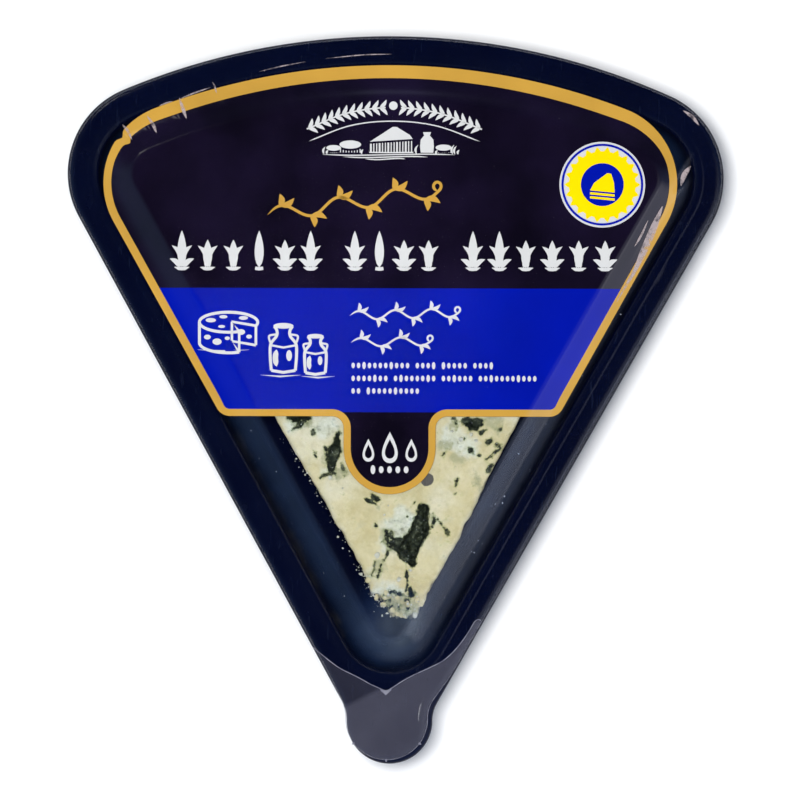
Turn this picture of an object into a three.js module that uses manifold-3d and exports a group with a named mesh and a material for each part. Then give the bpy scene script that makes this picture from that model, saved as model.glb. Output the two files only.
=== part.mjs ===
// A portion of blue cheese in its sealed tray pack: a wedge cut from a low wheel lies in a deep-drawn
// plastic tray, under a clear lidding film that ends in a round peel tab, with a printed label on the film.
// Millimetres, +Z up. The pack lies on its foot ring at z = 0, with its tip towards -Y and its bowed back
// towards +Y. The origin is under the middle of the pack's bounding box.
import * as THREE from "three";
import { mergeVertices } from "three/addons/utils/BufferGeometryUtils.js";
import Module from "manifold-3d";

const wasm = await Module();
wasm.setup();

// The cheese: a sector of the wheel, with its tip worn blunt.
const wheelRadius = 93.7;
const wedgeAngle = THREE.MathUtils.degToRad(58.3);
const cheeseHeight = 20;
const cheeseTipRadius = 3;
const cheeseCornerRadius = 3;
const cheeseEdgeRound = 0.7;
const cheeseTurn = THREE.MathUtils.degToRad(1.9); // the portion lies a little askew in the tray
const cheeseTipShift = 2.3; // with its tip this far to the right of the pack's middle

// The tray: one sheet, drawn into a cavity with sloping walls and a flat sealing flange.
const sheet = 0.5; // thickness of the tray's wall
const draft = THREE.MathUtils.degToRad(11.5); // slope of the cavity's wall from upright
const rimRadius = 1.2; // from the flange down into the wall
const baseRadius = 2; // from the wall into the floor
const floorCornerRadius = 6.5;
const floorTipRadius = 4.9;
const flangeWidth = 5.3;
const marginWidth = 2; // the flange's outer strip, which turns down
const marginDrop = 0.5;
const backSetback = 15.5; // the back's arc has its centre this far beyond the cheese's tip
const grooveWidth = 4.6; // the floor's rim round the raised panel, from the wall's foot
const panelRise = 1;
const panelSlope = 0.8; // width of the step up to the panel
const panelTipRadius = 2.5;
const panelCornerRadius = 3.2;

// The peel tab, which tray and film share.
const tabRadius = 7.5;
const tabReach = 16.1; // from the cavity's rim to the tab's end
const tabFillet = 6.5;

// The lidding film. It is sealed to the flange and rises over the cheese, which stands proud.
const crown = 1.3; // height of the cheese's top over the flange
const filmThickness = 0.2;
const filmTrim = 0.3; // how far the film's edge stays inside the tray's
const plateauMargin = 2.2; // the film is level from this far outside the cheese's cut faces

// The label, stuck on the film: rounded like the pack at the back, straight across in front, with a tongue.
const labelThickness = 0.15;
const labelSideInset = 5.9; // from the pack's outer edge
const labelBackInset = 4.9;
const labelShift = -0.6; // the label is stuck on a little to the left and a little turned
const labelTurn = THREE.MathUtils.degToRad(0.5);
const labelCornerRadius = 14;
const labelFrontY = -2.9; // where the straight front edge lies
const labelFrontRadius = 2.6;
const tongueWidth = 16.1;
const tongueLength = 13.6;
const tongueFillet = 2;

// Clearances between pieces.
const contactGap = 0.1; // cheese to tray, and cheese to film
const stickGap = 0.05; // film to flange, and label to film
const cornerGap = 0.8; // between a sharp corner of the cheese and the wall's foot

// How finely each stretch of an outline and each round of a section is divided.
const steps = { tip: 14, side: 3, corner: 10, back: 9, tab: 9, round: 4, margin: 3, filmSlope: 3 };

// Sizes that follow from the ones above.
const half = wedgeAngle / 2;
const along = new THREE.Vector2(Math.sin(half), Math.cos(half)); // up the right-hand cut face
const outward = new THREE.Vector2(Math.cos(half), -Math.sin(half)); // out of that face
const panelTop = sheet + panelRise;
const cheeseBottom = panelTop + contactGap;
const cheeseTop = cheeseBottom + cheeseHeight;
const flangeTop = cheeseTop - crown;
const wallRun = (flangeTop - sheet) * Math.tan(draft);
const floorInset = flangeWidth + wallRun; // from the pack's edge to where wall and floor would meet
const roundReach = (radius) => radius * Math.tan(Math.PI / 4 - draft / 2); // between level and wall
// The walls stand off from the cut faces and the back, so that sharp corners clear the cavity's round ones.
const cornerRoom = floorCornerRadius - roundReach(baseRadius) - cornerGap;
const standOff = floorCornerRadius - cornerRoom * Math.SQRT1_2;
const sideOffset = standOff + floorInset; // from a cut face to the pack's outer edge
const backCentre = new THREE.Vector2(0, -backSetback);
const cheeseCorner = along.clone().multiplyScalar(wheelRadius);
const backRadius = cheeseCorner.distanceTo(backCentre) + standOff + floorInset; // of the pack's outer edge
const rimTipRadius = floorTipRadius + wallRun;
const rimTipY = (rimTipRadius - (sideOffset - flangeWidth)) / Math.sin(half) - rimTipRadius;
const tabCentre = new THREE.Vector2(0, rimTipY - tabReach + tabRadius);
// Outlines are worked out about the cheese's ideal tip, then moved by this much to centre the pack.
const shiftY = -(backRadius - backSetback + tabCentre.y - tabRadius) / 2;
const plateauInset = sideOffset - plateauMargin;
const filmPlateau = cheeseTop + contactGap;
const labelFront = labelFrontY - shiftY;

// Points on an arc, without its first one.
function arcPoints(centre, radius, from, to, count) {
  return Array.from({ length: count }, (_, i) => {
    const angle = from + ((to - from) * (i + 1)) / count;
    return new THREE.Vector2(centre.x + radius * Math.cos(angle), centre.y + radius * Math.sin(angle));
  });
}

// Points on a line, without its first one.
function linePoints(from, to, count) {
  return Array.from({ length: count }, (_, i) => from.clone().lerp(to, (i + 1) / count));
}

// Where a circle of this radius sits that touches the right-hand side and the back's arc, both from inside.
function cornerCentre(side, back, radius) {
  const foot = outward.clone().multiplyScalar(side - radius);
  const toFoot = foot.clone().sub(backCentre);
  const reach = back - radius;
  const b = toFoot.dot(along);
  const t = -b + Math.sqrt(b * b - toFoot.lengthSq() + reach * reach);
  return foot.addScaledVector(along, t);
}

// From the end of the tip's round: up the right-hand side, round the corner and along the back to the middle.
function sideAndBack(start, side, back, cornerRadius) {
  const centre = cornerCentre(side, back, cornerRadius);
  const bend = centre.clone().sub(backCentre).angle();
  const foot = centre.clone().addScaledVector(outward, cornerRadius);
  return [
    ...linePoints(start, foot, steps.side),
    ...arcPoints(centre, cornerRadius, -half, bend, steps.corner),
    ...arcPoints(backCentre, back, bend, Math.PI / 2, steps.back),
  ];
}

// The right half of an outline runs from the middle of the tip to the middle of the back.
// This adds its mirror image.
function mirrored(rightHalf, shift = shiftY) {
  const left = rightHalf
    .slice(1, -1)
    .reverse()
    .map((p) => new THREE.Vector2(-p.x, p.y));
  return [...rightHalf, ...left].map((p) => new THREE.Vector2(p.x, p.y + shift));
}

// A wedge with a round tip, inset from the pack's outer edge. The radii are those at that inset.
function wedgeOutline(inset, tipRadius, cornerRadius) {
  const side = sideOffset - inset;
  const centre = new THREE.Vector2(0, (tipRadius - side) / Math.sin(half));
  const tip = [
    new THREE.Vector2(0, centre.y - tipRadius),
    ...arcPoints(centre, tipRadius, -Math.PI / 2, -half, steps.tip),
  ];
  return mirrored([...tip, ...sideAndBack(tip.at(-1), side, backRadius - inset, cornerRadius)]);
}

// The cavity's outline at an inset: each one is parallel to the floor's, so its radii grow with the distance.
function cavityOutline(inset) {
  const grown = floorInset - inset;
  return wedgeOutline(inset, floorTipRadius + grown, floorCornerRadius + grown);
}

// The flange's outline with the peel tab, parallel to the pack's outer edge.
function tabOutline(inset) {
  const reach = tabRadius + tabFillet;
  const foot = outward.clone().multiplyScalar(sideOffset + tabFillet);
  const toFoot = foot.clone().sub(tabCentre);
  const b = toFoot.dot(along);
  const filletCentre = foot.addScaledVector(along, -b + Math.sqrt(b * b - toFoot.lengthSq() + reach * reach));
  const meet = Math.atan2(filletCentre.y - tabCentre.y, filletCentre.x - tabCentre.x);
  const tip = [
    new THREE.Vector2(0, tabCentre.y - tabRadius + inset),
    ...arcPoints(tabCentre, tabRadius - inset, -Math.PI / 2, meet, steps.tab),
    ...arcPoints(filletCentre, tabFillet + inset, meet + Math.PI, Math.PI - half, steps.tip - steps.tab),
  ];
  const cornerRadius = floorCornerRadius + floorInset - inset;
  return mirrored([...tip, ...sideAndBack(tip.at(-1), sideOffset - inset, backRadius - inset, cornerRadius)]);
}

// A ring is an outline at a height.
const ring = (outline, z) => ({ outline, z });

// Joins matching rings into one closed solid: the first ring is capped facing up and the last facing down,
// so the rings run from the piece's upper face outwards, round its edge and back underneath.
function loftRings(rings) {
  const count = rings[0].outline.length;
  const positions = rings.flatMap(({ outline, z }) => outline.flatMap((p) => [p.x, p.y, z]));
  const faces = [];
  for (let r = 0; r < rings.length - 1; r++) {
    for (let i = 0; i < count; i++) {
      const next = (i + 1) % count;
      const [a, b] = [r * count + i, r * count + next];
      const [c, d] = [a + count, b + count];
      faces.push(a, c, b, b, c, d);
    }
  }
  const last = (rings.length - 1) * count;
  for (const [a, b, c] of THREE.ShapeUtils.triangulateShape(rings[0].outline, [])) faces.push(a, b, c);
  for (const [a, b, c] of THREE.ShapeUtils.triangulateShape(rings.at(-1).outline, [])) {
    faces.push(last + a, last + c, last + b);
  }
  const geometry = new THREE.BufferGeometry();
  geometry.setAttribute("position", new THREE.Float32BufferAttribute(positions, 3));
  geometry.setIndex(faces);
  return geometry;
}

// A section's points in inset and height, each with the normal of the face it lies on. At a crease between
// two faces the normal is their mitre, which is longer by the stretch.
function sectionPoint(inset, z, angle, stretch = 1) {
  return { inset, z, normal: [stretch * Math.cos(angle), stretch * Math.sin(angle)] };
}

// A quarter-like round of the section, from one normal angle to another.
function sectionRound(inset, z, radius, from, to, sign) {
  return Array.from({ length: steps.round + 1 }, (_, i) => {
    const angle = from + ((to - from) * i) / steps.round;
    return sectionPoint(inset + sign * radius * Math.cos(angle), z + sign * radius * Math.sin(angle), angle);
  });
}

// The tray's upper face from the flange's flat to the raised panel: insets grow inwards, and normals point
// up and in.
function traySection() {
  const level = Math.PI / 2;
  const wall = draft;
  const rimStart = flangeWidth - roundReach(rimRadius);
  const footEnd = floorInset + roundReach(baseRadius);
  const panelFoot = floorInset + grooveWidth - panelSlope;
  const bend = Math.atan2(panelRise, panelSlope);
  const crease = [level + bend / 2, 1 / Math.cos(bend / 2)];
  return [
    ...sectionRound(rimStart, flangeTop - rimRadius, rimRadius, level, wall, 1),
    ...sectionRound(footEnd, sheet + baseRadius, baseRadius, wall, level, -1),
    sectionPoint(panelFoot, sheet, ...crease),
    sectionPoint(floorInset + grooveWidth, panelTop, ...crease),
  ];
}

// Outlines past the wall's foot have their own radii, because the tip's round would shrink to nothing there.
function trayOutline(inset) {
  const inside = Math.max(0, inset - floorInset - roundReach(baseRadius));
  if (inside === 0) return cavityOutline(inset);
  return wedgeOutline(inset, panelTipRadius, panelCornerRadius);
}

// The flange's outer strip curves down to its edge. The rings run out over it as far as the trim, lifted.
function marginRings(trim, lift) {
  return Array.from({ length: steps.margin + 1 }, (_, i) => {
    const inset = THREE.MathUtils.lerp(marginWidth, trim, i / steps.margin);
    const share = 1 - inset / marginWidth;
    return ring(tabOutline(inset), flangeTop - marginDrop * share * share + lift);
  });
}

function buildTray() {
  const section = traySection();
  const upper = section.map((p) => ring(trayOutline(p.inset), p.z)).reverse();
  const lower = section.map((p) => {
    const inset = p.inset - sheet * p.normal[0];
    return ring(trayOutline(inset), p.z - sheet * p.normal[1]);
  });
  return loftRings([
    ...upper,
    ...marginRings(0, 0),
    ...marginRings(0, -sheet).reverse(),
    ...lower,
  ]);
}

// The film's and the label's shared shape: level over the cheese, easing down to the flange, then out over
// the flange's margin.
function coverRings(lift, thickness) {
  const bottom = (z) => z + lift;
  const slope = Array.from({ length: steps.filmSlope + 1 }, (_, i) => {
    const share = i / steps.filmSlope;
    const inset = THREE.MathUtils.lerp(plateauInset, flangeWidth, share);
    const drop = THREE.MathUtils.smoothstep(share, 0, 1);
    return ring(cavityOutline(inset), THREE.MathUtils.lerp(filmPlateau, flangeTop + stickGap, drop));
  });
  const margin = marginRings(filmTrim, stickGap);
  const under = [...slope, ...margin].map(({ outline, z }) => ring(outline, bottom(z)));
  const over = under.map(({ outline, z }) => ring(outline, z + thickness));
  return [...over, ...under.reverse()];
}

function buildFilm() {
  return loftRings(coverRings(0, filmThickness));
}

// The wedge-shaped label outline is cut across in front, and its tongue hangs from the middle of that edge.
function labelShape() {
  const side = sideOffset - labelSideInset;
  const back = backRadius - labelBackInset;
  const centre = cornerCentre(side, back, labelCornerRadius);
  const bend = centre.clone().sub(backCentre).angle();
  const front = labelFront;
  // The front corner's round touches the side and the front edge.
  const roundY = front + labelFrontRadius;
  const roundX = (side - labelFrontRadius + roundY * Math.sin(half)) / Math.cos(half);
  const tongueX = tongueWidth / 2;
  const tongueCentre = new THREE.Vector2(0, front - tongueLength + tongueX);
  const filletCentre = new THREE.Vector2(tongueX + tongueFillet, front - tongueFillet);
  const right = [
    new THREE.Vector2(0, front - tongueLength),
    ...arcPoints(tongueCentre, tongueX, -Math.PI / 2, 0, 12),
    ...arcPoints(filletCentre, tongueFillet, Math.PI, Math.PI / 2, 5),
    ...arcPoints(new THREE.Vector2(roundX, roundY), labelFrontRadius, -Math.PI / 2, -half, 5),
    ...arcPoints(centre, labelCornerRadius, -half, bend, 10),
    ...arcPoints(backCentre, back, bend, Math.PI / 2, 10),
  ];
  return new THREE.Shape(mirrored(right));
}

// A closed geometry as a manifold-3d solid.
function solidFrom(geometry) {
  const bare = new THREE.BufferGeometry().setAttribute("position", geometry.getAttribute("position"));
  const merged = mergeVertices(geometry.index ? bare.setIndex(geometry.index) : bare, 1e-4);
  const mesh = new wasm.Mesh({
    numProp: 3,
    vertProperties: new Float32Array(merged.attributes.position.array),
    triVerts: new Uint32Array(merged.index.array),
  });
  return new wasm.Manifold(mesh);
}

function geometryFrom(solid) {
  const { vertProperties, triVerts } = solid.getMesh();
  const geometry = new THREE.BufferGeometry();
  geometry.setAttribute("position", new THREE.Float32BufferAttribute(vertProperties, 3));
  return geometry.setIndex(new THREE.Uint32BufferAttribute(triVerts, 1));
}

// The label follows the film's shape, so it is a layer parallel to the film cut out with the label's outline.
function buildLabel() {
  const layer = solidFrom(loftRings(coverRings(filmThickness + stickGap, labelThickness)));
  const cutter = new THREE.ExtrudeGeometry(labelShape(), { depth: 2 * cheeseTop, bevelEnabled: false });
  cutter.rotateZ(labelTurn).translate(labelShift, 0, 0);
  return geometryFrom(layer.intersect(solidFrom(cutter)));
}

// The cheese's outline about its ideal tip, inset from its cut faces and rind.
function cheeseOutline(inset) {
  const tipRadius = cheeseTipRadius - inset;
  const cornerRadius = cheeseCornerRadius - inset;
  const centre = new THREE.Vector2(0, cheeseTipRadius / Math.sin(half));
  const corner = outward.clone().multiplyScalar(-cheeseCornerRadius);
  const reach = wheelRadius - cheeseCornerRadius;
  corner.addScaledVector(along, Math.sqrt(reach * reach - cheeseCornerRadius * cheeseCornerRadius));
  const bend = corner.angle();
  const rightHalf = [
    new THREE.Vector2(0, centre.y - tipRadius),
    ...arcPoints(centre, tipRadius, -Math.PI / 2, -half, 6),
    ...arcPoints(corner, cornerRadius, -half, bend, 4),
    ...arcPoints(new THREE.Vector2(0, 0), wheelRadius - inset, bend, Math.PI / 2, 16),
  ];
  return mirrored(rightHalf, 0);
}

function buildCheese() {
  const edge = [0, 0.3, 1].map((share) => {
    const angle = (share * Math.PI) / 2;
    return { inset: cheeseEdgeRound * (1 - Math.sin(angle)), drop: cheeseEdgeRound * (1 - Math.cos(angle)) };
  });
  const top = edge.map(({ inset, drop }) => ring(cheeseOutline(inset), cheeseTop - drop));
  const bottom = edge.map(({ inset, drop }) => ring(cheeseOutline(inset), cheeseBottom + drop)).reverse();
  return loftRings([...top, ...bottom]);
}

function piece(name, geometry, color, roughness, extra = {}) {
  const material = new THREE.MeshStandardMaterial({ color, roughness, metalness: 0, ...extra });
  const mesh = new THREE.Mesh(geometry, material);
  mesh.name = name;
  return mesh;
}

const cheese = piece("cheese_wedge", buildCheese(), 0xddd7ad, 0.55);
cheese.position.set(cheeseTipShift, shiftY, 0);
cheese.rotation.z = cheeseTurn;

const pack = new THREE.Group();
pack.add(
  cheese,
  piece("tray", buildTray(), 0x060b2c, 0.3),
  piece("lidding_film", buildFilm(), 0xf2f4fa, 0.08, { transparent: true, opacity: 0.15 }),
  piece("label", buildLabel(), 0x110d22, 0.25),
);

export default pack;
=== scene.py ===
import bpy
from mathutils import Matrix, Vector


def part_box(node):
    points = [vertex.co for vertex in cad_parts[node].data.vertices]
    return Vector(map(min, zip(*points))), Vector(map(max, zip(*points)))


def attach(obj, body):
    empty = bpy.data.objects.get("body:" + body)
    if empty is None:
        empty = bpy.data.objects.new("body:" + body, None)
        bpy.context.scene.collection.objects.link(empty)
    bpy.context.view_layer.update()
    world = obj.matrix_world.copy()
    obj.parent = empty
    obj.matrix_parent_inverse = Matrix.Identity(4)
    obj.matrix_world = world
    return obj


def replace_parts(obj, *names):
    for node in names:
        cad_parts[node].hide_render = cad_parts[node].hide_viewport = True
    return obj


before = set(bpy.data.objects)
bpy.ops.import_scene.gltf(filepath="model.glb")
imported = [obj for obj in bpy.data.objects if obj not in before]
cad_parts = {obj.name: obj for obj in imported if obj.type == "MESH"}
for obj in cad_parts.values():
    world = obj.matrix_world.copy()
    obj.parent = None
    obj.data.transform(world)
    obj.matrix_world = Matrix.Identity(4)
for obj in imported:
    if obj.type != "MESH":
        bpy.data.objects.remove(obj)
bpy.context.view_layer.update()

import math

import bpy
import numpy as np
from mathutils import Vector

# Sizes here are in millimetres, and a mesh is scaled to metres when it is made.
mm = 0.001

# The pack's shape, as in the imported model. Insets are measured inwards from the pack's outer edge.
packShape = {
    "halfAngle": math.radians(29.15),  # of the wedge
    "wheelRadius": 93.7,
    "standOff": 3.625,  # from the wedge's ideal cut face to the foot of the wall
    "draft": math.radians(11.5),  # the wall's slope from upright
    "sheet": 0.5,  # the tray's thickness
    "floorTip": 4.9,  # radii of the floor's outline, at its tip and at its corners
    "floorCorner": 6.5,
    "backSetback": 15.5,  # the back's arc has its centre this far beyond the ideal tip
    "flangeWidth": 5.3,
    "marginWidth": 2.0,  # the flange's outer strip, which turns down by the drop
    "marginDrop": 0.4,
    "tabRadius": 7.5,
    "tabReach": 16.1,  # from the cavity's rim to the tab's end
    "tabFillet": 6.5,
    "plateauMargin": 1.2,  # the film is level from this far outside the cut faces
}
# How many steps each stretch of the right half of an outline has.
outlineSteps = {"tip": 64, "side": 56, "corner": 46, "back": 64, "tab": 42}


def boxOf(name):
    low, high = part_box(name)
    return np.array(low) / mm, np.array(high) / mm


trayLow, trayHigh = boxOf("tray")
cheeseLow, cheeseHigh = boxOf("cheese_wedge")
filmTop = boxOf("lidding_film")[1][2]

half = packShape["halfAngle"]
along = np.array([math.sin(half), math.cos(half)])  # up the right-hand cut face
outward = np.array([math.cos(half), -math.sin(half)])  # out of that face
flangeTop = trayHigh[2]
wallRun = (flangeTop - packShape["sheet"]) * math.tan(packShape["draft"])
floorInset = packShape["flangeWidth"] + wallRun
sideOffset = packShape["standOff"] + floorInset
tipRound = packShape["floorTip"] + floorInset
cornerRound = packShape["floorCorner"] + floorInset
backCentre = np.array([0, -packShape["backSetback"]])
backRadius = np.linalg.norm(packShape["wheelRadius"] * along - backCentre) + sideOffset
rimTip = packShape["floorTip"] + wallRun
rimTipY = (rimTip - (sideOffset - packShape["flangeWidth"])) / math.sin(half) - rimTip
tabCentre = np.array([0, rimTipY - packShape["tabReach"] + packShape["tabRadius"]])
wedgeTipY = trayLow[1] - (tabCentre[1] - packShape["tabRadius"])  # where the ideal tip lies in the frame


# Points and outward normals of an arc, without its first point. A hollow arc has its normals towards its
# centre.
def arcRun(centre, radius, start, end, count, hollow=False):
    angle = np.linspace(start, end, count + 1)[1:, None]
    ray = np.hstack([np.cos(angle), np.sin(angle)])
    return centre + radius * ray, -ray if hollow else ray


# Points on a straight line, without its first one, with one normal for all.
def lineRun(start, end, normal, count):
    share = np.linspace(0, 1, count + 1)[1:, None]
    return start + share * (end - start), np.repeat(normal[None], count, axis=0)


# Joins runs of points and normals into the right half of an outline and adds its mirror image. The result
# starts at the middle of the tip and goes round anticlockwise.
def closeOutline(first, runs):
    points = np.vstack([first[0][None]] + [run[0] for run in runs])
    normals = np.vstack([first[1][None]] + [run[1] for run in runs])
    flip = np.array([-1, 1])
    points = np.vstack([points, points[-2:0:-1] * flip])
    normals = np.vstack([normals, normals[-2:0:-1] * flip])
    return points + np.array([0, wedgeTipY]), normals


# Where a circle of this radius lies that touches the side from inside and the back's arc from inside.
def cornerPlace(side, back, radius):
    foot = outward * (side - radius)
    toFoot = foot - backCentre
    lean = toFoot @ along
    return foot + along * (-lean + math.sqrt(lean**2 - toFoot @ toFoot + (back - radius) ** 2))


# The side, the corner's round and the back's arc, which every outline shares: a line, an arc and a flatter
# arc.
def sideRuns(start, side, back, radius, steps):
    centre = cornerPlace(side, back, radius)
    bend = math.atan2(*(centre - backCentre)[::-1])
    return [
        lineRun(start, centre + radius * outward, outward, steps["side"]),
        arcRun(centre, radius, -half, bend, steps["corner"]),
        arcRun(backCentre, back, bend, math.pi / 2, steps["back"]),
    ]


# A wedge with a round tip and round corners, its sides and back at the given offsets.
def wedgeOutline(inset, tipRadius, cornerRadius, steps):
    side = sideOffset - inset
    centre = np.array([0, (tipRadius - side) / math.sin(half)])
    tip = arcRun(centre, tipRadius, -math.pi / 2, -half, steps["tip"])
    first = (centre - [0, tipRadius], np.array([0.0, -1.0]))
    return closeOutline(first, [tip] + sideRuns(tip[0][-1], side, backRadius - inset, cornerRadius, steps))


# The pack's outer edge with its peel tab: the tab's arc, a hollow fillet, and then as on the wedge.
def tabbedOutline(steps):
    reach = packShape["tabRadius"] + packShape["tabFillet"]
    foot = outward * (sideOffset + packShape["tabFillet"])
    toFoot = foot - tabCentre
    lean = toFoot @ along
    filletCentre = foot + along * (-lean + math.sqrt(lean**2 - toFoot @ toFoot + reach**2))
    meet = math.atan2(*(filletCentre - tabCentre)[::-1])
    tab = arcRun(tabCentre, packShape["tabRadius"], -math.pi / 2, meet, steps["tab"])
    count = steps["tip"] - steps["tab"]
    fillet = arcRun(filletCentre, packShape["tabFillet"], meet + math.pi, math.pi - half, count, hollow=True)
    first = (tabCentre - [0, packShape["tabRadius"]], np.array([0.0, -1.0]))
    runs = [tab, fillet] + sideRuns(fillet[0][-1], sideOffset, backRadius, cornerRound, steps)
    return closeOutline(first, runs)


tabbedEdge = tabbedOutline(outlineSteps)
cavityEdge = wedgeOutline(0, tipRound, cornerRound, outlineSteps)
panelEdge = wedgeOutline(floorInset + 4.6, 2.5, 3.2, outlineSteps)


# An outline moved inwards along its normals.
def insetOf(edge, inset):
    return edge[0] - np.asarray(inset).reshape(-1, 1) * edge[1]


# How far inside the pack's outer edge a point lies: the least distance to the sides and the back, or to a
# round where the point lies in that round's sector. The tab doesn't count.
def insetAt(x, y):
    y = y - wedgeTipY
    ax = np.abs(x)
    side = sideOffset - (ax * outward[0] + y * outward[1])
    back = backRadius - np.hypot(ax - backCentre[0], y - backCentre[1])
    inset = np.minimum(side, back)
    corner = cornerPlace(sideOffset, backRadius, cornerRound)
    bend = math.atan2(*(corner - backCentre)[::-1])
    dx, dy = ax - corner[0], y - corner[1]
    angle = np.arctan2(dy, dx)
    inset = np.where((angle > -half) & (angle < bend), cornerRound - np.hypot(dx, dy), inset)
    tipY = (tipRound - sideOffset) / math.sin(half)
    angle = np.arctan2(y - tipY, ax)
    return np.where(angle < -half, tipRound - np.hypot(ax, y - tipY), inset)


# Rises from 0 to 1 between two values and is level outside them.
def ease(value, low, high):
    share = np.clip((value - low) / (high - low), 0, 1)
    return share * share * (3 - 2 * share)


# Value noise: seeded random numbers on a lattice, eased between its corners. It lies between -1 and 1.
def softNoise(points, cell, seed):
    table = np.random.default_rng(seed).random((32, 32, 32))
    place = points / cell
    base = np.floor(place).astype(int)
    share = place - base
    share = ease(share, 0, 1)
    total = np.zeros(len(points))
    for corner in np.ndindex(2, 2, 2):
        index = (base + corner) % 32
        weight = np.where(np.array(corner) == 1, share, 1 - share).prod(axis=1)
        total += weight * table[index[:, 0], index[:, 1], index[:, 2]]
    return total * 2 - 1


# A sum of noises, each at half the cell and about half the strength of the one before.
def roughNoise(points, cell, seed, octaves=4):
    return sum(softNoise(points, cell / 2**i, seed + i) * 0.55**i for i in range(octaves))


# A mesh from points in millimetres, smooth, fixed to the one body.
def addMesh(name, points, faces, material, slot):
    mesh = bpy.data.meshes.new(name)
    mesh.from_pydata((points * mm).tolist(), [], faces)
    mesh.validate()
    mesh.polygons.foreach_set("use_smooth", [True] * len(mesh.polygons))
    made = bpy.data.objects.new(name, mesh)
    bpy.context.scene.collection.objects.link(made)
    mesh.materials.append(material)
    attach(made, "root")
    return made


# Faces of a grid of rows by columns. Rows that run outwards from the top of a piece and round to its
# underside, with columns anticlockwise, give faces that look out. A wrapped grid joins its last column to
# its first.
def gridFaces(rows, columns, wrapped):
    r, c = np.meshgrid(np.arange(rows - 1), np.arange(columns if wrapped else columns - 1), indexing="ij")
    n = (c + 1) % columns
    quads = [r * columns + c, (r + 1) * columns + c, (r + 1) * columns + n, r * columns + n]
    return np.stack(quads, axis=-1).reshape(-1, 4).tolist()


# A closed body from rings of points: the first ring closes on a point above, the last on a point below.
def ringBody(rings):
    rows, columns = rings.shape[:2]
    points = np.vstack([rings.reshape(-1, 3), rings[0].mean(axis=0), rings[-1].mean(axis=0)])
    c = np.arange(columns)
    n = (c + 1) % columns
    top = np.stack([np.full(columns, rows * columns), c, n], axis=-1)
    last = (rows - 1) * columns
    bottom = np.stack([np.full(columns, rows * columns + 1), last + n, last + c], axis=-1)
    return points, gridFaces(rows, columns, True) + top.tolist() + bottom.tolist()


# An outline at one height, or at a height for each of its points.
def ringAt(outline, height):
    return np.column_stack([outline, np.broadcast_to(height, len(outline))])


# A number for each point of a mesh, which its material can read by name.
def addAttribute(made, name, values):
    attribute = made.data.attributes.new(name, "FLOAT", "POINT")
    attribute.data.foreach_set("value", values.astype(np.float32))


# A plan turned about its origin and then shifted: x runs as cx - sy, and y as sx + cy.
def turnPlan(plan, angle, shift=(0, 0)):
    x, y = plan[:, 0], plan[:, 1]
    c, s = math.cos(angle), math.sin(angle)
    return np.column_stack([c * x - s * y + shift[0], s * x + c * y + shift[1]])


# Points of a path at equal steps along it.
def evenPath(path, count):
    along = np.append(0, np.cumsum(np.linalg.norm(np.diff(path, axis=0), axis=1)))
    steps = np.linspace(0, along[-1], count)
    return np.column_stack([np.interp(steps, along, path[:, 0]), np.interp(steps, along, path[:, 1])])


# A smooth curve through the given points (a Catmull-Rom spline): between two points it is the cubic that
# leaves and arrives parallel to the line between their neighbours.
def smoothPath(points, steps=8):
    p = np.array(points, float)
    p = np.vstack([2 * p[0] - p[1], p, 2 * p[-1] - p[-2]])
    t = np.linspace(0, 1, steps, endpoint=False)[:, None, None]
    a, b, c, d = p[:-3], p[1:-2], p[2:-1], p[3:]
    curve = 0.5 * (2 * b + (c - a) * t + (2 * a - 5 * b + 4 * c - d) * t**2 + (3 * b - a - 3 * c + d) * t**3)
    return np.vstack([curve.transpose(1, 0, 2).reshape(-1, p.shape[1]), p[-2:-1]])


# Distance from each point to a chain of nodes (x, y, radius), less the radius there: negative inside the
# chain.
def chainField(points, nodes):
    nodes = np.array(nodes, float)
    if len(nodes) == 1:
        return np.hypot(*(points - nodes[0, :2]).T) - nodes[0, 2]
    start, step = nodes[:-1], np.diff(nodes, axis=0)
    offset = points[:, None] - start[None, :, :2]
    reach = (offset * step[None, :, :2]).sum(axis=2) / (step[:, :2] ** 2).sum(axis=1)
    share = np.clip(reach, 0, 1)
    gap = np.linalg.norm(offset - share[..., None] * step[None, :, :2], axis=2)
    return (gap - start[:, 2] - share * step[:, 2]).min(axis=1)


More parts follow.
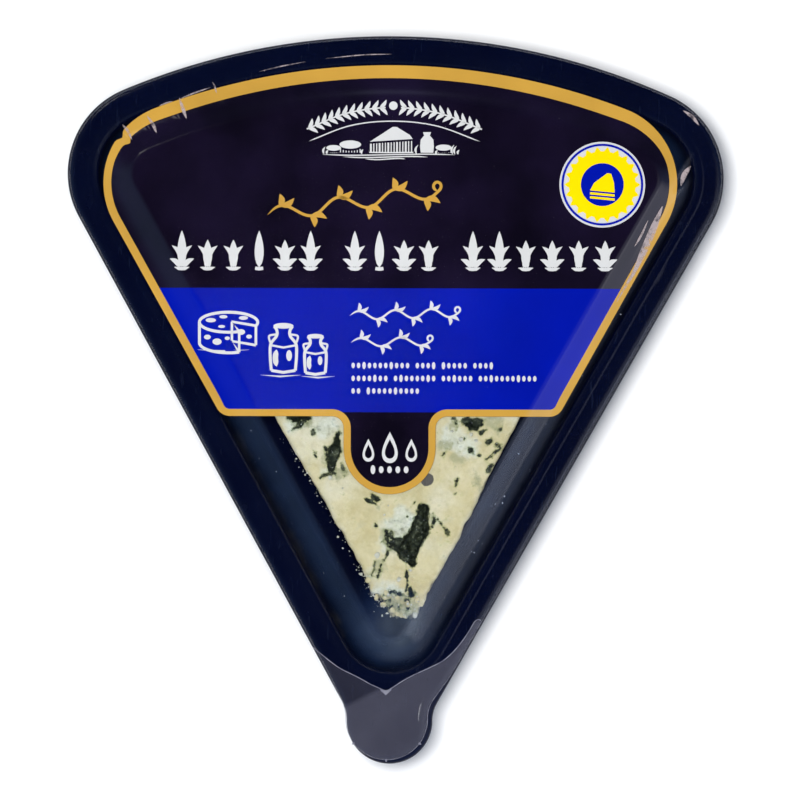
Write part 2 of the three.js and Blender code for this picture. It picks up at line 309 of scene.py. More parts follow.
# What paints a material or the world: its node tree, and the coordinates that its patterns follow. Each of its
# functions adds one node and gives back what comes out of it.
class Paint:
    def __init__(self, owner, output="OutputMaterial", follow="Object"):
        owner.use_nodes = True
        self.owner, self.tree = owner, owner.node_tree
        self.tree.nodes.clear()
        self.output = self.node(output)
        self.place = self.node("TexCoord").outputs[follow]

    # Adds a shader node. Sockets are set to a value or linked from another node's output.
    def node(self, kind, sockets=None, **settings):
        made = self.tree.nodes.new("ShaderNode" + kind)
        for key, value in settings.items():
            setattr(made, key, value)
        for key, value in (sockets or {}).items():
            if isinstance(value, bpy.types.NodeSocket):
                self.tree.links.new(value, made.inputs[key])
            else:
                made.inputs[key].default_value = value
        return made

    # Adds the last shader and gives back what was painted.
    def finish(self, kind, sockets):
        self.tree.links.new(self.node(kind, sockets).outputs[0], self.output.inputs["Surface"])
        return self.owner

    # Noise; the size is that of one blob, in millimetres.
    def noise(self, size, detail=4, roughness=0.55, place=None):
        sockets = {"Vector": place or self.place, "Scale": 1000 / size, "Detail": detail,
                   "Roughness": roughness}
        return self.node("TexNoise", sockets).outputs["Fac"]

    # Maps a value onto colours or greys at stops between 0 and 1.
    def ramp(self, value, stops):
        ramp = self.node("ValToRGB", {"Fac": value})
        elements = ramp.color_ramp.elements
        while len(elements) < len(stops):
            elements.new(0.5)
        for element, (place, color) in zip(elements, stops):
            element.position = place
            element.color = (*color, 1) if isinstance(color, tuple) else (color, color, color, 1)
        return ramp.outputs["Color"]

    # Maps a value from one range onto another, straight or eased.
    def span(self, value, low, high, start=0.0, end=1.0, kind="LINEAR"):
        sockets = {"Value": value, "From Min": low, "From Max": high, "To Min": start, "To Max": end}
        return self.node("MapRange", sockets, interpolation_type=kind).outputs[0]

    def math(self, operation, a, b):
        return self.node("Math", {0: a, 1: b}, operation=operation).outputs[0]

    def mix(self, share, a, b, blend="MIX"):
        return self.node("Mix", {0: share, 6: a, 7: b}, data_type="RGBA", blend_type=blend).outputs[2]

    def bump(self, height, strength, distance, normal=None):
        sockets = {"Height": height, "Strength": strength, "Distance": distance * mm}
        if normal is not None:
            sockets["Normal"] = normal
        return self.node("Bump", sockets).outputs["Normal"]

    def attribute(self, name):
        return self.node("Attribute", attribute_name=name).outputs["Fac"]


def newPaint(name):
    return Paint(bpy.data.materials.new(name))


# Camera and light.
view = {
    "distance": 1100,  # from the pack up to the lens
    "across": 140,  # of the pack's level that the picture spans
    "roll": math.radians(0.65),
    "centre": (1.2, 0.0),
}
camera = bpy.data.objects.new("camera", bpy.data.cameras.new("camera"))
bpy.context.scene.collection.objects.link(camera)
camera.data.lens = camera.data.sensor_width * view["distance"] / view["across"]
camera.data.clip_end = 20
camera.location = Vector((*view["centre"], view["distance"] + flangeTop)) * mm
camera.rotation_euler = (0, 0, view["roll"])
bpy.context.scene.camera = camera
bpy.context.scene.view_settings.view_transform = "Standard"


# The key light is square and looks at the pack. It lights surfaces but isn't mirrored in them.
keyLight = {"place": (-52, 16, 900), "size": 135, "power": 7.6}
lamp = bpy.data.objects.new("keyLight", bpy.data.lights.new("keyLight", "AREA"))
bpy.context.scene.collection.objects.link(lamp)
lamp.data.shape = "RECTANGLE"
lamp.data.size = lamp.data.size_y = keyLight["size"] * mm
lamp.data.energy = keyLight["power"]
lamp.location = Vector(keyLight["place"]) * mm
lamp.rotation_euler = (-Vector(keyLight["place"])).to_track_quat("-Z", "Y").to_euler()
lamp.visible_glossy = False

# The sky brightens from above down to the horizon, and is dimmer behind the pack. Soft patches in it stand
# for softboxes: each has a direction in plan, a lean off the vertical, the angles at which it is full and
# gone, a strength and a colour.
softboxes = [
    (-24, 37, 3, 16, 0.68, (1.0, 0.98, 1.02)),
    (-75, 32, 4, 22, 0.25, (0.8, 0.95, 1.2)),
    (-24, 28, 0.5, 5, 0.4, (1.0, 0.95, 0.99)),
    (-24, 17, 2, 14, 0.3, (0.95, 0.98, 1.1)),
    (90, 52, 2, 9, 0.6, (0.8, 0.9, 1.2)),
    (128, 24, 1, 6, 1.3, (1.0, 0.98, 0.95)),
]
sky = Paint(bpy.data.worlds.new("studio"), "OutputWorld", "Generated")
bpy.context.scene.world = sky.owner
axes = sky.node("SeparateXYZ", {0: sky.place}).outputs
lowSky = sky.ramp(axes["Z"], [(0.0, (1.4, 1.41, 1.43)), (0.4, (0.95, 0.96, 0.98)), (0.6, 0.0)])
highSky = sky.ramp(axes["Z"], [
    (0.4, 0.0), (0.6, (0.13, 0.19, 0.29)), (0.85, (0.1, 0.15, 0.25)), (0.95, (0.05, 0.065, 0.1)),
    (1.0, (0.006, 0.0055, 0.008))])
highSky = sky.mix(sky.span(axes["Y"], 0.05, 0.3, 1.0, 0.12), (0, 0, 0, 1), highSky)
skyColor = sky.mix(1.0, lowSky, highSky, "ADD")
for towards, lean, full, gone, strength, color in softboxes:
    towards, lean, full, gone = (math.radians(angle) for angle in (towards, lean, full, gone))
    aim = (math.cos(towards) * math.sin(lean), math.sin(towards) * math.sin(lean), math.cos(lean))
    facing = sky.node("VectorMath", {0: sky.place, 1: aim}, operation="DOT_PRODUCT").outputs["Value"]
    patch = sky.span(facing, math.cos(gone), math.cos(full), 0.0, strength, "SMOOTHSTEP")
    tint = sky.mix(patch, (0, 0, 0, 1), (*color, 1))
    tint.node.clamp_factor = False
    skyColor = sky.mix(1.0, skyColor, tint, "ADD")
sky.finish("Background", {"Color": skyColor, "Strength": 1.0})

floorColor = {"Base Color": (0.92, 0.92, 0.92, 1), "Roughness": 0.9}
floorMaterial = newPaint("paleFloor").finish("BsdfPrincipled", floorColor)
floorMesh = bpy.data.meshes.new("floor")
floorMesh.from_pydata([(-3, -3, 0), (3, -3, 0), (3, 3, 0), (-3, 3, 0)], [], [(0, 1, 2, 3)])
floorMesh.materials.append(floorMaterial)
floor = bpy.data.objects.new("floor", floorMesh)
bpy.context.scene.collection.objects.link(floor)
print("stage: camera, lights and floor")

# Tray.
tray = {
    "dark": (0.0004, 0.0014, 0.0118),
    "light": (0.0009, 0.0027, 0.0175),
    "rimRadius": 1.2,  # from the flange down into the wall
    "baseRadius": 2.0,  # from the wall into the floor
    "panelRise": 1.0,
    "panelSlope": 0.8,
    "creaseRadius": 0.35,  # softens the step up to the panel
    "grooveWidth": 4.6,
}


# Glossy navy plastic: a cloudy colour, long scuffs, and a gloss that varies with ripples and a fine grain.
def makeTrayMaterial():
    paint = newPaint("navyTrayPlastic")
    color = paint.ramp(paint.noise(22, detail=3), [(0.3, tray["dark"]), (0.7, tray["light"])])
    along = {"Vector": paint.place, "Scale": (1, 0.12, 1), "Rotation": (0, 0, 0.5)}
    scratch = paint.node("Mapping", along)
    scuff = paint.ramp(paint.noise(0.5, detail=5, place=scratch.outputs[0]), [(0.62, 0.0), (0.8, 1.0)])
    color = paint.mix(paint.math("MULTIPLY", scuff, 0.35), color, (0.02, 0.028, 0.055, 1))
    ripple = paint.bump(paint.noise(9, detail=2), 0.2, 0.3)
    return paint.finish("BsdfPrincipled", {
        "Base Color": color, "Roughness": paint.ramp(paint.noise(4, detail=5), [(0.3, 0.17), (0.75, 0.3)]),
        "Normal": paint.bump(paint.noise(0.35, detail=3), 0.02, 0.04, ripple), "Specular IOR Level": 0.28})


# A run of section points along a round of this radius, from one normal angle to another. The sign is +1 on
# a crest and -1 in a hollow; each point is (inset, height, angle of the normal).
def roundRun(inset, height, radius, start, end, sign, count):
    angle = np.linspace(start, end, count)
    reach = sign * radius
    return np.column_stack([inset + reach * np.cos(angle), height + reach * np.sin(angle), angle])


# The tray's upper section from the flange to the panel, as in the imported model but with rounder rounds.
def traySection():
    level, wall = math.pi / 2, packShape["draft"]
    reach = math.tan(math.pi / 4 - wall / 2)
    rim, foot = tray["rimRadius"], tray["baseRadius"]
    sheet = packShape["sheet"]
    bend = math.atan2(tray["panelRise"], tray["panelSlope"])
    crease = tray["creaseRadius"]
    creaseReach = crease * math.tan(bend / 2)
    panelFoot = floorInset + tray["grooveWidth"] - tray["panelSlope"]
    panelTop = sheet + tray["panelRise"]
    rows = [
        roundRun(packShape["flangeWidth"] - rim * reach, flangeTop - rim, rim, level, wall, 1, 9),
        roundRun(floorInset + foot * reach, sheet + foot, foot, wall, level, -1, 12),
        roundRun(panelFoot - creaseReach, sheet + crease, crease, level, level + bend, -1, 5),
        roundRun(floorInset + tray["grooveWidth"] + creaseReach, panelTop - crease, crease, level + bend,
                 level, 1, 5),
    ]
    return np.vstack(rows)


# The flange's outer strip: its height falls with the fourth power of the distance out.
def marginHeight(inset):
    out = np.clip(1 - np.asarray(inset) / packShape["marginWidth"], 0, 1)
    return flangeTop - packShape["marginDrop"] * out**4


# A ring of the tray's section: the cavity's outline, and from the floor on a blend of it with the panel's.
def trayRing(inset, height):
    inner = floorInset + tray["baseRadius"] * 0.83
    if inset <= inner:
        return ringAt(insetOf(cavityEdge, inset), height)
    share = (inset - inner) / (floorInset + tray["grooveWidth"] - inner)
    return ringAt((1 - share) * insetOf(cavityEdge, inner) + share * panelEdge[0], height)


# The tray as rings from the middle of its upper side round its edge to the middle of its underside.
def makeTray(material):
    section = traySection()
    sheet = packShape["sheet"]
    upper = [trayRing(i, z) for i, z, a in section][::-1]
    lower = [trayRing(i - sheet * math.cos(a), z - sheet * math.sin(a)) for i, z, a in section]
    centre = panelEdge[0].mean(axis=0)
    panel = [centre + (panelEdge[0] - centre) * share for share in np.linspace(0.06, 0.97, 12)]
    panel = [ringAt(ring, section[-1][1]) for ring in panel]
    insets = np.linspace(packShape["marginWidth"], 0.12, 8)
    margin = [ringAt(insetOf(tabbedEdge, i), marginHeight(i)) for i in insets]
    edge = [ringAt(tabbedEdge[0], marginHeight(0) - z) for z in (0.1, sheet - 0.1)]
    below = [ring - [0, 0, sheet] for ring in margin[::-1]]
    rings = panel + upper + margin + edge + below + lower + [ring - [0, 0, sheet] for ring in panel[::-1]]
    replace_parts(addMesh("trayShell", *ringBody(np.stack(rings)), material, "tray_plastic"), "tray")


makeTray(makeTrayMaterial())
print("tray: made")

# Film. Its height follows the flange and eases up to the level part over the cheese.
film = {
    "thickness": 0.16,
    "lift": 0.03,  # over the flange
    "trim": 0.3,  # inside the tray's edge
    "tabShift": (-0.5, 0.35),  # the film's tab is cut a little beside the tray's
    "welts": [(3.8, 0.032, 0.22), (4.7, 0.01, 0.3)],  # ridges round the seal: inset, height and half width
    "roughness": 0.09,
    # Puckers where the film is gathered: place, direction, half length, half width and height.
    "puckers": [
        (-46.4, 44.6, 128, 1.7, 0.3, 0.12), (-43.2, 47.3, 124, 2.0, 0.32, 0.13),
        (-38.3, 50.0, 117, 2.4, 0.42, 0.15), (-30.5, 53.4, 112, 1.6, 0.5, 0.06),
        (50.2, 41.6, 60, 2.2, 0.5, 0.14), (49.6, 37.4, 48, 1.6, 0.4, 0.1),
        (-49.4, 38.0, 172, 1.5, 0.5, 0.07), (46.2, 22.5, 150, 1.2, 0.4, 0.06),
        (43.6, 27.5, 66, 7.5, 0.45, 0.07), (42.2, 26.0, 63, 6.0, 0.3, 0.03),
    ],
    # Painted bluish light over the tray's shaded walls, and mist of whey right of the cheese and round a place
    # at its tip out to a reach.
    "mistAndPaintedLight": {"walls": 0.014, "right": 0.02, "tip": 0.065, "place": (0.6, -38.9), "reach": 4.9},
}


# The film's ridges that radiate across its edge: each falls off as a bell along and across its direction.
def puckerHeight(x, y):
    total = np.zeros(len(x))
    for px, py, degrees, long, wide, height in film["puckers"]:
        u, v = turnPlan(np.column_stack([x - px, y - py]), -math.radians(degrees)).T
        total += height * np.exp(-((u / long) ** 2) - (v / wide) ** 2)
    return total


filmLevel = flangeTop + film["lift"] + film["thickness"]  # the film's upper side on the flange


# Height of the film's upper side over any point: the flange's level, then an eased rise, small welts and
# waves.
def coverHeight(x, y):
    inset = insetAt(x, y)
    plateau = sideOffset - packShape["plateauMargin"]
    start = packShape["flangeWidth"] - 0.5
    share = np.clip((inset - start) / (plateau - start), 0, 1) ** 1.7
    rise = ease(share, 0, 1)
    welt = sum(h * np.exp(-(((inset - at) / w) ** 2)) for at, h, w in film["welts"])
    flat = np.column_stack([x, y, np.zeros(len(x))])
    wave = 0.04 * softNoise(flat, 17, 5) + 0.012 * softNoise(flat, 6, 8)
    sealed = np.clip(inset / 3, 0, 1)
    onFlange = np.minimum(marginHeight(inset) - flangeTop, 0)
    ridges = (welt + puckerHeight(x, y)) * sealed
    return filmLevel + (filmTop - 0.08 - filmLevel) * rise + ridges + wave * rise + onFlange


# Points of a plan at this lift over the film.
def onCover(plan, lift):
    return ringAt(plan, coverHeight(plan[:, 0], plan[:, 1]) + lift)


# Clear film: it lets light through where it faces us and mirrors more at a slant, over a patchy layer: painted
# bluish light over the shaded walls, and grey whey mist beside the cheese and at its tip.
def makeFilmMaterial():
    paint = newPaint("clearFilm")
    normal = paint.bump(paint.noise(4, detail=1), 0.12, 0.08)
    gloss = paint.node("BsdfPrincipled", {
        "Base Color": (1, 1, 1, 1), "Metallic": 1.0, "Roughness": film["roughness"], "Normal": normal})
    facing = paint.node("LayerWeight", {"Blend": 0.5, "Normal": normal}).outputs["Facing"]
    clear = paint.node("BsdfTransparent", {"Color": (0.97, 0.975, 0.98, 1)})
    mistAndPaintedLightShare = paint.attribute("mistAndPaintedLight")
    # The tone is a painted bluish light where the layer is thin, over the walls, and grey whey mist where it
    # is dense.
    tone = paint.ramp(mistAndPaintedLightShare, [(0.012, (0.09, 0.23, 0.65)), (0.06, (0.3, 0.4, 0.56))])
    patchy = paint.ramp(paint.noise(5), [(0.3, 0.7), (0.7, 1.25)])
    under = paint.node("MixShader", {
        0: paint.math("MULTIPLY", mistAndPaintedLightShare, patchy), 1: clear.outputs[0],
        2: paint.node("BsdfDiffuse", {"Color": tone}).outputs[0]})
    share = paint.ramp(facing, [(0.0, 0.03), (0.5, 0.06), (1, 0.6)])
    return paint.finish("MixShader", {0: share, 1: under.outputs[0], 2: gloss.outputs[0]})


# How dense the layer under the film is: a little painted light over the tray's shaded walls, and whey mist,
# more beside the cheese on the right and most at its tip.
def mistAndPaintedLightAt(x, y):
    mistAndPaintedLight, inset = film["mistAndPaintedLight"], insetAt(x, y)
    # Painted light that lightens the shaded walls seen through the film.
    walls = mistAndPaintedLight["walls"] * ease(inset, 5.4, 7.8) * (1 - ease(inset, 10.0, 11.6))
    right = mistAndPaintedLight["right"] * np.exp(-(((inset - 10.4) / 1.2) ** 2)) * ease(x, 0, 3) * (y < 0)
    away = np.hypot(x - mistAndPaintedLight["place"][0], y - mistAndPaintedLight["place"][1])
    return walls + right + mistAndPaintedLight["tip"] * np.exp(-((away / mistAndPaintedLight["reach"]) ** 2))


# The film's own cut edge: inside the tray's edge, with its tab a little aside.
def filmEdge(inset):
    edge = insetOf(tabbedEdge, inset)
    tabEnd = tabCentre[1] + wedgeTipY
    return edge + ease(-edge[:, 1], -tabEnd - 9, -tabEnd - 2)[:, None] * np.array(film["tabShift"])


# The film as rings from its middle to its cut edge, with an underside parallel to its upper side.
def makeFilm(material):
    insets = np.linspace(2.0, film["trim"], 6)
    flat = [(1 - s) * insetOf(cavityEdge, 3.2) + s * filmEdge(2.0) for s in (0.0, 0.34, 0.67)]
    slope = [insetOf(cavityEdge, i) for i in np.linspace(11.0, 3.35, 44)]
    hub = np.array([0.0, wedgeTipY + 24])
    inner = [hub + (slope[0] - hub) * s for s in np.linspace(0.03, 0.98, 36)]
    rings = [ringAt(p, coverHeight(p[:, 0], p[:, 1])) for p in inner + slope]
    rings += [ringAt(p, filmLevel) for p in flat]
    rings += [ringAt(filmEdge(i), marginHeight(i) + film["lift"] + film["thickness"]) for i in insets]
    upper = np.stack(rings)
    points, faces = ringBody(np.concatenate([upper, upper[::-1] - [0, 0, film["thickness"]]]))
    made = addMesh("liddingFilm", points, faces, material, "clear_film")
    addAttribute(made, "mistAndPaintedLight", mistAndPaintedLightAt(points[:, 0], points[:, 1]))
    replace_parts(made, "lidding_film")


makeFilm(makeFilmMaterial())
print("film: made")


# A patch is a plan grid of rows by columns; closed says that its columns go all the way round, and filled
# says that its first row closes on itself. A slab is made of patches, each with a top, a parallel underside
# and upright edges. Patches take turns in height, so that crossing ones don't share a level.
def slabMesh(name, patches, heightOf, depth, material, slot):
    points, smooth, upright, count = [], [], [], 0
    for number, (grid, closed, filled) in enumerate(patches):
        rows, columns = grid.shape[:2]
        a, b, c = grid[0, 0], grid[-1, 0], grid[-1, columns // 3]
        if (b[0] - a[0]) * (c[1] - a[1]) - (b[1] - a[1]) * (c[0] - a[0]) < 0:
            grid = grid[:, ::-1]
        index = np.arange(rows * columns).reshape(rows, columns)
        if closed:
            loops = [index[-1]] if filled else [index[-1], index[0, ::-1]]
        else:
            loops = [np.concatenate([index[:-1, 0], index[-1, :-1], index[:0:-1, -1], index[0, :0:-1]])]
        top = gridFaces(rows, columns, closed) + ([index[0].tolist()] if filled else [])
        size = rows * columns
        flat = grid.reshape(-1, 2)
        high = heightOf(flat) + [0, 0, 0.009 * (number % 5)]
        points += [high, high - [0, 0, depth]]
        smooth += [[count + i for i in face] for face in top]
        smooth += [[count + size + i for i in face[::-1]] for face in top]
        for loop in loops:
            ahead = np.roll(loop, -1)
            sides = np.stack([loop, loop + size, ahead + size, ahead], axis=-1) + count
            upright += sides.tolist()
        count += 2 * size
    made = addMesh(name, np.vstack(points), smooth + upright, material, slot)
    flags = [True] * len(smooth) + [False] * len(upright)
    made.data.polygons.foreach_set("use_smooth", flags)
    made.data.set_sharp_from_angle(angle=math.radians(50))
    return made


# A stroke along a path: across it the points lie at equal steps, and its width eases in and out over the
# taper.
def stroke(path, width, taper=0.0, columns=3):
    path = np.asarray(path, float)
    ahead = np.gradient(path, axis=0)
    ahead /= np.linalg.norm(ahead, axis=1)[:, None] + 1e-9
    normal = np.column_stack([-ahead[:, 1], ahead[:, 0]])
    share = np.linspace(0, 1, len(path))
    ends = 1.0 if taper == 0 else 0.12 + 0.88 * np.sqrt(ease(share, 0, taper) * ease(1 - share, 0, taper))
    across = (width / 2 * ends * np.ones(len(path)))[:, None, None] * np.linspace(-1, 1, columns)[:, None]
    return path[:, None] + across * normal[:, None], False, False


# A leaf from its foot to its tip: a bent line with a width that swells as a half wave and leans to the foot.
def leaf(foot, tip, width, bend=0.0, rows=10):
    foot, tip = np.array(foot, float), np.array(tip, float)
    share = np.linspace(0, 1, rows)[:, None]
    chord = tip - foot
    side = np.array([-chord[1], chord[0]])
    path = foot + chord * share + side * bend * np.sin(math.pi * share)
    swell = np.sin(math.pi * share**0.8) ** 0.8 * width / 2 + 0.02
    across = np.linspace(-1, 1, 3)[None, :, None]
    return path[:, None] + across * (swell * side / np.linalg.norm(side))[:, None], False, False


# A ring or disc about a centre: an ellipse scaled from an inner share of its size out to the whole.
def disc(centre, wide, high=None, inner=0.1, rows=3, columns=28):
    angle = np.linspace(0, 2 * math.pi, columns, endpoint=False)
    rim = np.column_stack([np.cos(angle) * wide, np.sin(angle) * (high or wide)])
    share = np.linspace(inner, 1, rows)[:, None, None]
    return np.array(centre, float) + share * rim, True, inner <= 0.1


# A drop: its height runs as a cosine and its width as a sine that fades towards the point.
def drop(centre, wide, high, inner=0.1):
    angle = np.linspace(0, 2 * math.pi, 36, endpoint=False)
    rim = np.column_stack([np.sin(angle) * np.sin(angle / 2) ** 1.3 * wide, np.cos(angle) * high])
    share = np.linspace(inner, 1, 3)[:, None, None]
    middle = np.array([0, -0.25 * high])
    return np.array(centre, float) + middle + share * (rim - middle), True, inner <= 0.1


# The grip: below the seal's line the film isn't stuck, so it looks hazy and grey; the grey is partly a painted
# reflection of the air gap under the loose film.
grip = {
    "ends": (-13.5, 15.75),  # where the seal's line meets the film's edge, left and right
    "apex": (-0.7, 4.6),  # the line's low point, from the tab's centre
    "haze": 0.135,
    # The painted shadow on the haze: where its edge lies on the left, across a slanted line.
    "paintedShadow": (-0.0502, -0.0492),  # across the shadow's edge on the left, where it falls at a slant
    "lineWidth": 0.14,
    "cutWidth": 0.07,  # of the pale cut edge
    "nibs": (-36, -90, -143),  # directions of the nibs left by the cutter
}


# The line's height over its low point grows with the distance from it, more and more slowly and then
# faster. On the right it climbs a little more and then turns down to the edge, and on the left it sags.
def sealLine(x, soften=0.75):
    reach = np.sqrt((x - grip["apex"][0]) ** 2 + soften**2)
    rise = 1.015 * reach - 0.081 * reach**2 + 0.004 * reach**3
    climb = 1.9 * np.clip((x - 8.8) / 5.8, 0, 1) ** 1.6 - np.maximum(x - 14.6, 0) ** 2
    sag = 0.55 * ease(-x, 0.8, 4) * (1 - ease(-x, 8, 12.5))
    return np.column_stack([x, tabCentre[1] + wedgeTipY + grip["apex"][1] + rise + climb - sag])


# Thin haze: clear film with a share of dull grey, cloudy and grained. The grey is the loose film's haze and a
# painted reflection of its air gap, and it is darker on the left, where a painted shadow of the tray falls.
def makeHazeMaterial():
    paint = newPaint("gripHaze")
    axes = paint.node("SeparateXYZ", {0: paint.place}).outputs
    over = paint.math("SUBTRACT", axes["Y"], paint.math("MULTIPLY", axes["X"], 0.52))
    # Painted shadow: the haze's share falls to 0.35 beyond a slanted edge on the upper left.
    paintedShadow = paint.span(over, *grip["paintedShadow"], 1.0, 0.35)
    # Right of the middle the painted shadow is lifted.
    light = paint.math("MAXIMUM", paintedShadow, paint.span(axes["X"], -0.004, 0.0))
    cloud = paint.ramp(paint.noise(7), [(0.3, 0.85), (0.7, 1.1)])
    grain = paint.ramp(paint.noise(0.25, detail=2), [(0.3, 0.88), (0.7, 1.12)])
    light = paint.math("MULTIPLY", light, cloud)
    share = paint.math("MULTIPLY", light, paint.math("MULTIPLY", grain, grip["haze"]))
    dull = paint.node("BsdfPrincipled", {"Base Color": (0.2, 0.2, 0.27, 1), "Roughness": 0.6})
    clear = paint.node("BsdfTransparent", {"Color": (0.98, 0.98, 0.98, 1)})
    return paint.finish("MixShader", {0: share, 1: clear.outputs[0], 2: dull.outputs[0]})


def makeSealMaterial():
    paint = newPaint("sealWhite")
    pale = paint.ramp(paint.noise(1.5), [(0.3, (0.1, 0.1, 0.14)), (0.7, (0.26, 0.26, 0.31))])
    return paint.finish("BsdfPrincipled", {"Base Color": pale, "Roughness": 0.35})


# The haze is a grid between the seal's line and the film's edge. The line, its pale point, the cut edge and
# the nibs lie on it. The height there falls with the least distance to the edge, as the flange's outer
# strip does.
def makeGrip():
    start, end = grip["ends"]
    line = sealLine(np.linspace(start, end, 160))
    hazeInset = film["trim"] + 0.12
    edge = filmEdge(hazeInset)
    right = np.argmax(edge[:, 0] > end + 1)
    left = np.argmax(edge[::-1, 0] < start - 1)
    rim = evenPath(np.vstack([edge[len(edge) - 1 - left:], edge[:right + 1]]), 1200)
    first, last = (np.linalg.norm(rim - place, axis=1).argmin() for place in (line[0], line[-1]))
    rim = evenPath(rim[first:last + 1], 400)
    seal = evenPath(line, 400)

    def onGrip(plan, lift=0.03):
        inset = np.linalg.norm(plan[:, None] - rim[None], axis=2).min(axis=1) + hazeInset
        return ringAt(plan, filmLevel + lift + np.minimum(marginHeight(inset) - flangeTop, 0))

    grid = seal + np.linspace(0, 1, 16)[:, None, None] * (rim - seal)
    slabMesh("gripHaze", [(grid, False, False)], onGrip, 0.01, makeHazeMaterial(), "clear_film")
    point = np.linspace(-1.65, 0.25, 15)
    tip = np.stack([sealLine(point), sealLine(point, 0.02) + [0, -0.12]])
    around = filmEdge(film["trim"] + 0.04)
    ring = np.vstack([around[-78:], around[:82]])
    cut = [stroke(line, grip["lineWidth"]), (tip, False, False),
           stroke(ring, grip["cutWidth"], taper=0.2, columns=2)]
    nib = np.array(film["tabShift"]) + tabCentre + [0, wedgeTipY]
    reach = packShape["tabRadius"] - 0.1
    for angle in np.radians(grip["nibs"]):
        ray = np.array([math.cos(angle), math.sin(angle)])
        cut.append(leaf(nib + ray * (reach - 0.45), nib + ray * (reach + 0.12), 0.35))
    slabMesh("sealLines", cut, lambda plan: onGrip(plan, 0.05), 0.02, makeSealMaterial(), "clear_film")


makeGrip()
print("grip: haze and seal line made")

# Label.
label = {
    "thickness": 0.12,
    "sideInset": 5.9,
    "backInset": 5.1,
    "shift": -0.6,  # it is stuck on a little to the left and a little turned
    "turn": math.radians(0.5),
    "cornerRadius": 14.0,
    "frontY": -2.9,
    "frontRadius": 2.6,
    "tongueWidth": 16.1,
    "tongueLength": 13.6,
    "tongueFillet": 2.0,
    "pleat": (-45.6, 47.9),  # in the label's own plan, where its edge is gathered a little
    "bandTop": 22.4,  # the blue band's upper edge, from the front edge
    "borderBack": 2.3,  # the gold border's width at the back, at the sides and in front
    "borderSide": 1.4,
    "borderFront": 1.25,
    "bandLift": 0.035,
    "goldLift": 0.065,
    "printLift": 0.05,  # of print on the dark field; print on the band adds the band's lift
    "printDepth": 0.02,
}


# The label's own plan, with its origin in the middle of the front edge, turned and shifted into the frame.
def labelPlace(plan):
    return turnPlan(plan + [0, label["frontY"]], label["turn"], (label["shift"], 0))


# The label's outline in its own plan: tongue, fillet, straight front edge, side, corner and back.
def labelOutline():
    side = sideOffset - label["sideInset"]
    back = backRadius - label["backInset"]
    front = label["frontY"] - wedgeTipY
    reach, tongue, fillet = label["frontRadius"], label["tongueWidth"] / 2, label["tongueFillet"]
    roundY = front + reach
    roundX = (side - reach + roundY * math.sin(half)) / math.cos(half)
    down = np.array([0.0, -1.0])
    start = np.array([0.0, front - label["tongueLength"]])
    bow = arcRun(np.array([0, start[1] + tongue]), tongue, -math.pi / 2, 0, 30)
    neck = lineRun(bow[0][-1], np.array([tongue, front - fillet]), np.array([1.0, 0.0]), 10)
    centre = np.array([tongue + fillet, front - fillet])
    hollow = arcRun(centre, fillet, math.pi, math.pi / 2, 14, hollow=True)
    edge = lineRun(hollow[0][-1], np.array([roundX, front]), down, 36)
    corner = arcRun(np.array([roundX, roundY]), reach, -math.pi / 2, -half, 12)
    runs = [bow, neck, hollow, edge, corner]
    steps = {"side": 90, "corner": 60, "back": 80}
    runs += sideRuns(corner[0][-1], side, back, label["cornerRadius"], steps)
    points, normals = closeOutline((start, down), runs)
    points = points - [0, label["frontY"]]
    notch = points[np.linalg.norm(points - label["pleat"], axis=1).argmin()]
    away = np.linalg.norm(points - notch, axis=1)
    return points - (0.7 * np.exp(-((away / 0.7) ** 2)))[:, None] * normals, normals


labelEdge = labelOutline()


# Points of the label's own plan, on the cover at this lift.
def onLabel(plan, lift):
    return onCover(labelPlace(plan), 0.02 + label["thickness"] + lift)


# Printing ink: clear gloss over a colour that varies a little, with a fine grain that breaks up reflections.
def makeInk(name, color, roughness=0.2, variation=0.15, grain=0.08, coat=1.0):
    paint = newPaint(name)
    dark, light = (tuple(min(1, c * (1 + way * variation)) for c in color) for way in (-1, 1))
    dust = paint.ramp(paint.noise(0.6, detail=2), [(0.78, 0.0), (0.82, 0.12)])
    cloud = paint.ramp(paint.noise(16, detail=3), [(0.3, dark), (0.7, light)])
    base = paint.mix(dust, cloud, (0.5, 0.5, 0.5, 1))
    ripple = paint.bump(paint.noise(9, detail=2), 0.12, 0.25)
    normal = paint.bump(paint.noise(0.22, detail=2), grain, 0.03, ripple)
    return paint.finish("BsdfPrincipled", {
        "Base Color": base, "Roughness": roughness, "Normal": normal, "Specular IOR Level": 0.25,
        "Coat Weight": coat, "Coat Roughness": 0.09, "Coat IOR": 1.58})


darkInk = makeInk("darkInk", (0.0052, 0.003, 0.0125), variation=0.55)
blueInk = makeInk("blueInk", (0.0, 0.006, 0.31), variation=0.12, coat=0.35)
goldInk = makeInk("goldInk", (0.52, 0.29, 0.045), roughness=0.3, variation=0.1, grain=0.15)
whiteInk = makeInk("whiteInk", (0.61, 0.61, 0.6), variation=0.03)
yellowInk = makeInk("yellowInk", (0.9, 0.66, 0.0), variation=0.04)


# Print on the label at this lift.
def printSlab(name, ink, patches, lift=label["printLift"]):
    return slabMesh(name, patches, lambda plan: onLabel(plan, lift), label["printDepth"], ink,
                    "printed_label")


# The sheet: the outline scaled about a point inside, with rings closer together near the edge.
hub = np.array([0.0, 20.0])
reach = np.concatenate([np.linspace(0.02, 0.8, 30), np.linspace(0.81, 1, 40)])[:, None, None]
sheet = [(hub + reach * (labelEdge[0] - hub), True, True)]
made = slabMesh("labelSheet", sheet, lambda plan: onLabel(plan, 0), label["thickness"], darkInk,
                "printed_label")
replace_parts(made, "label")

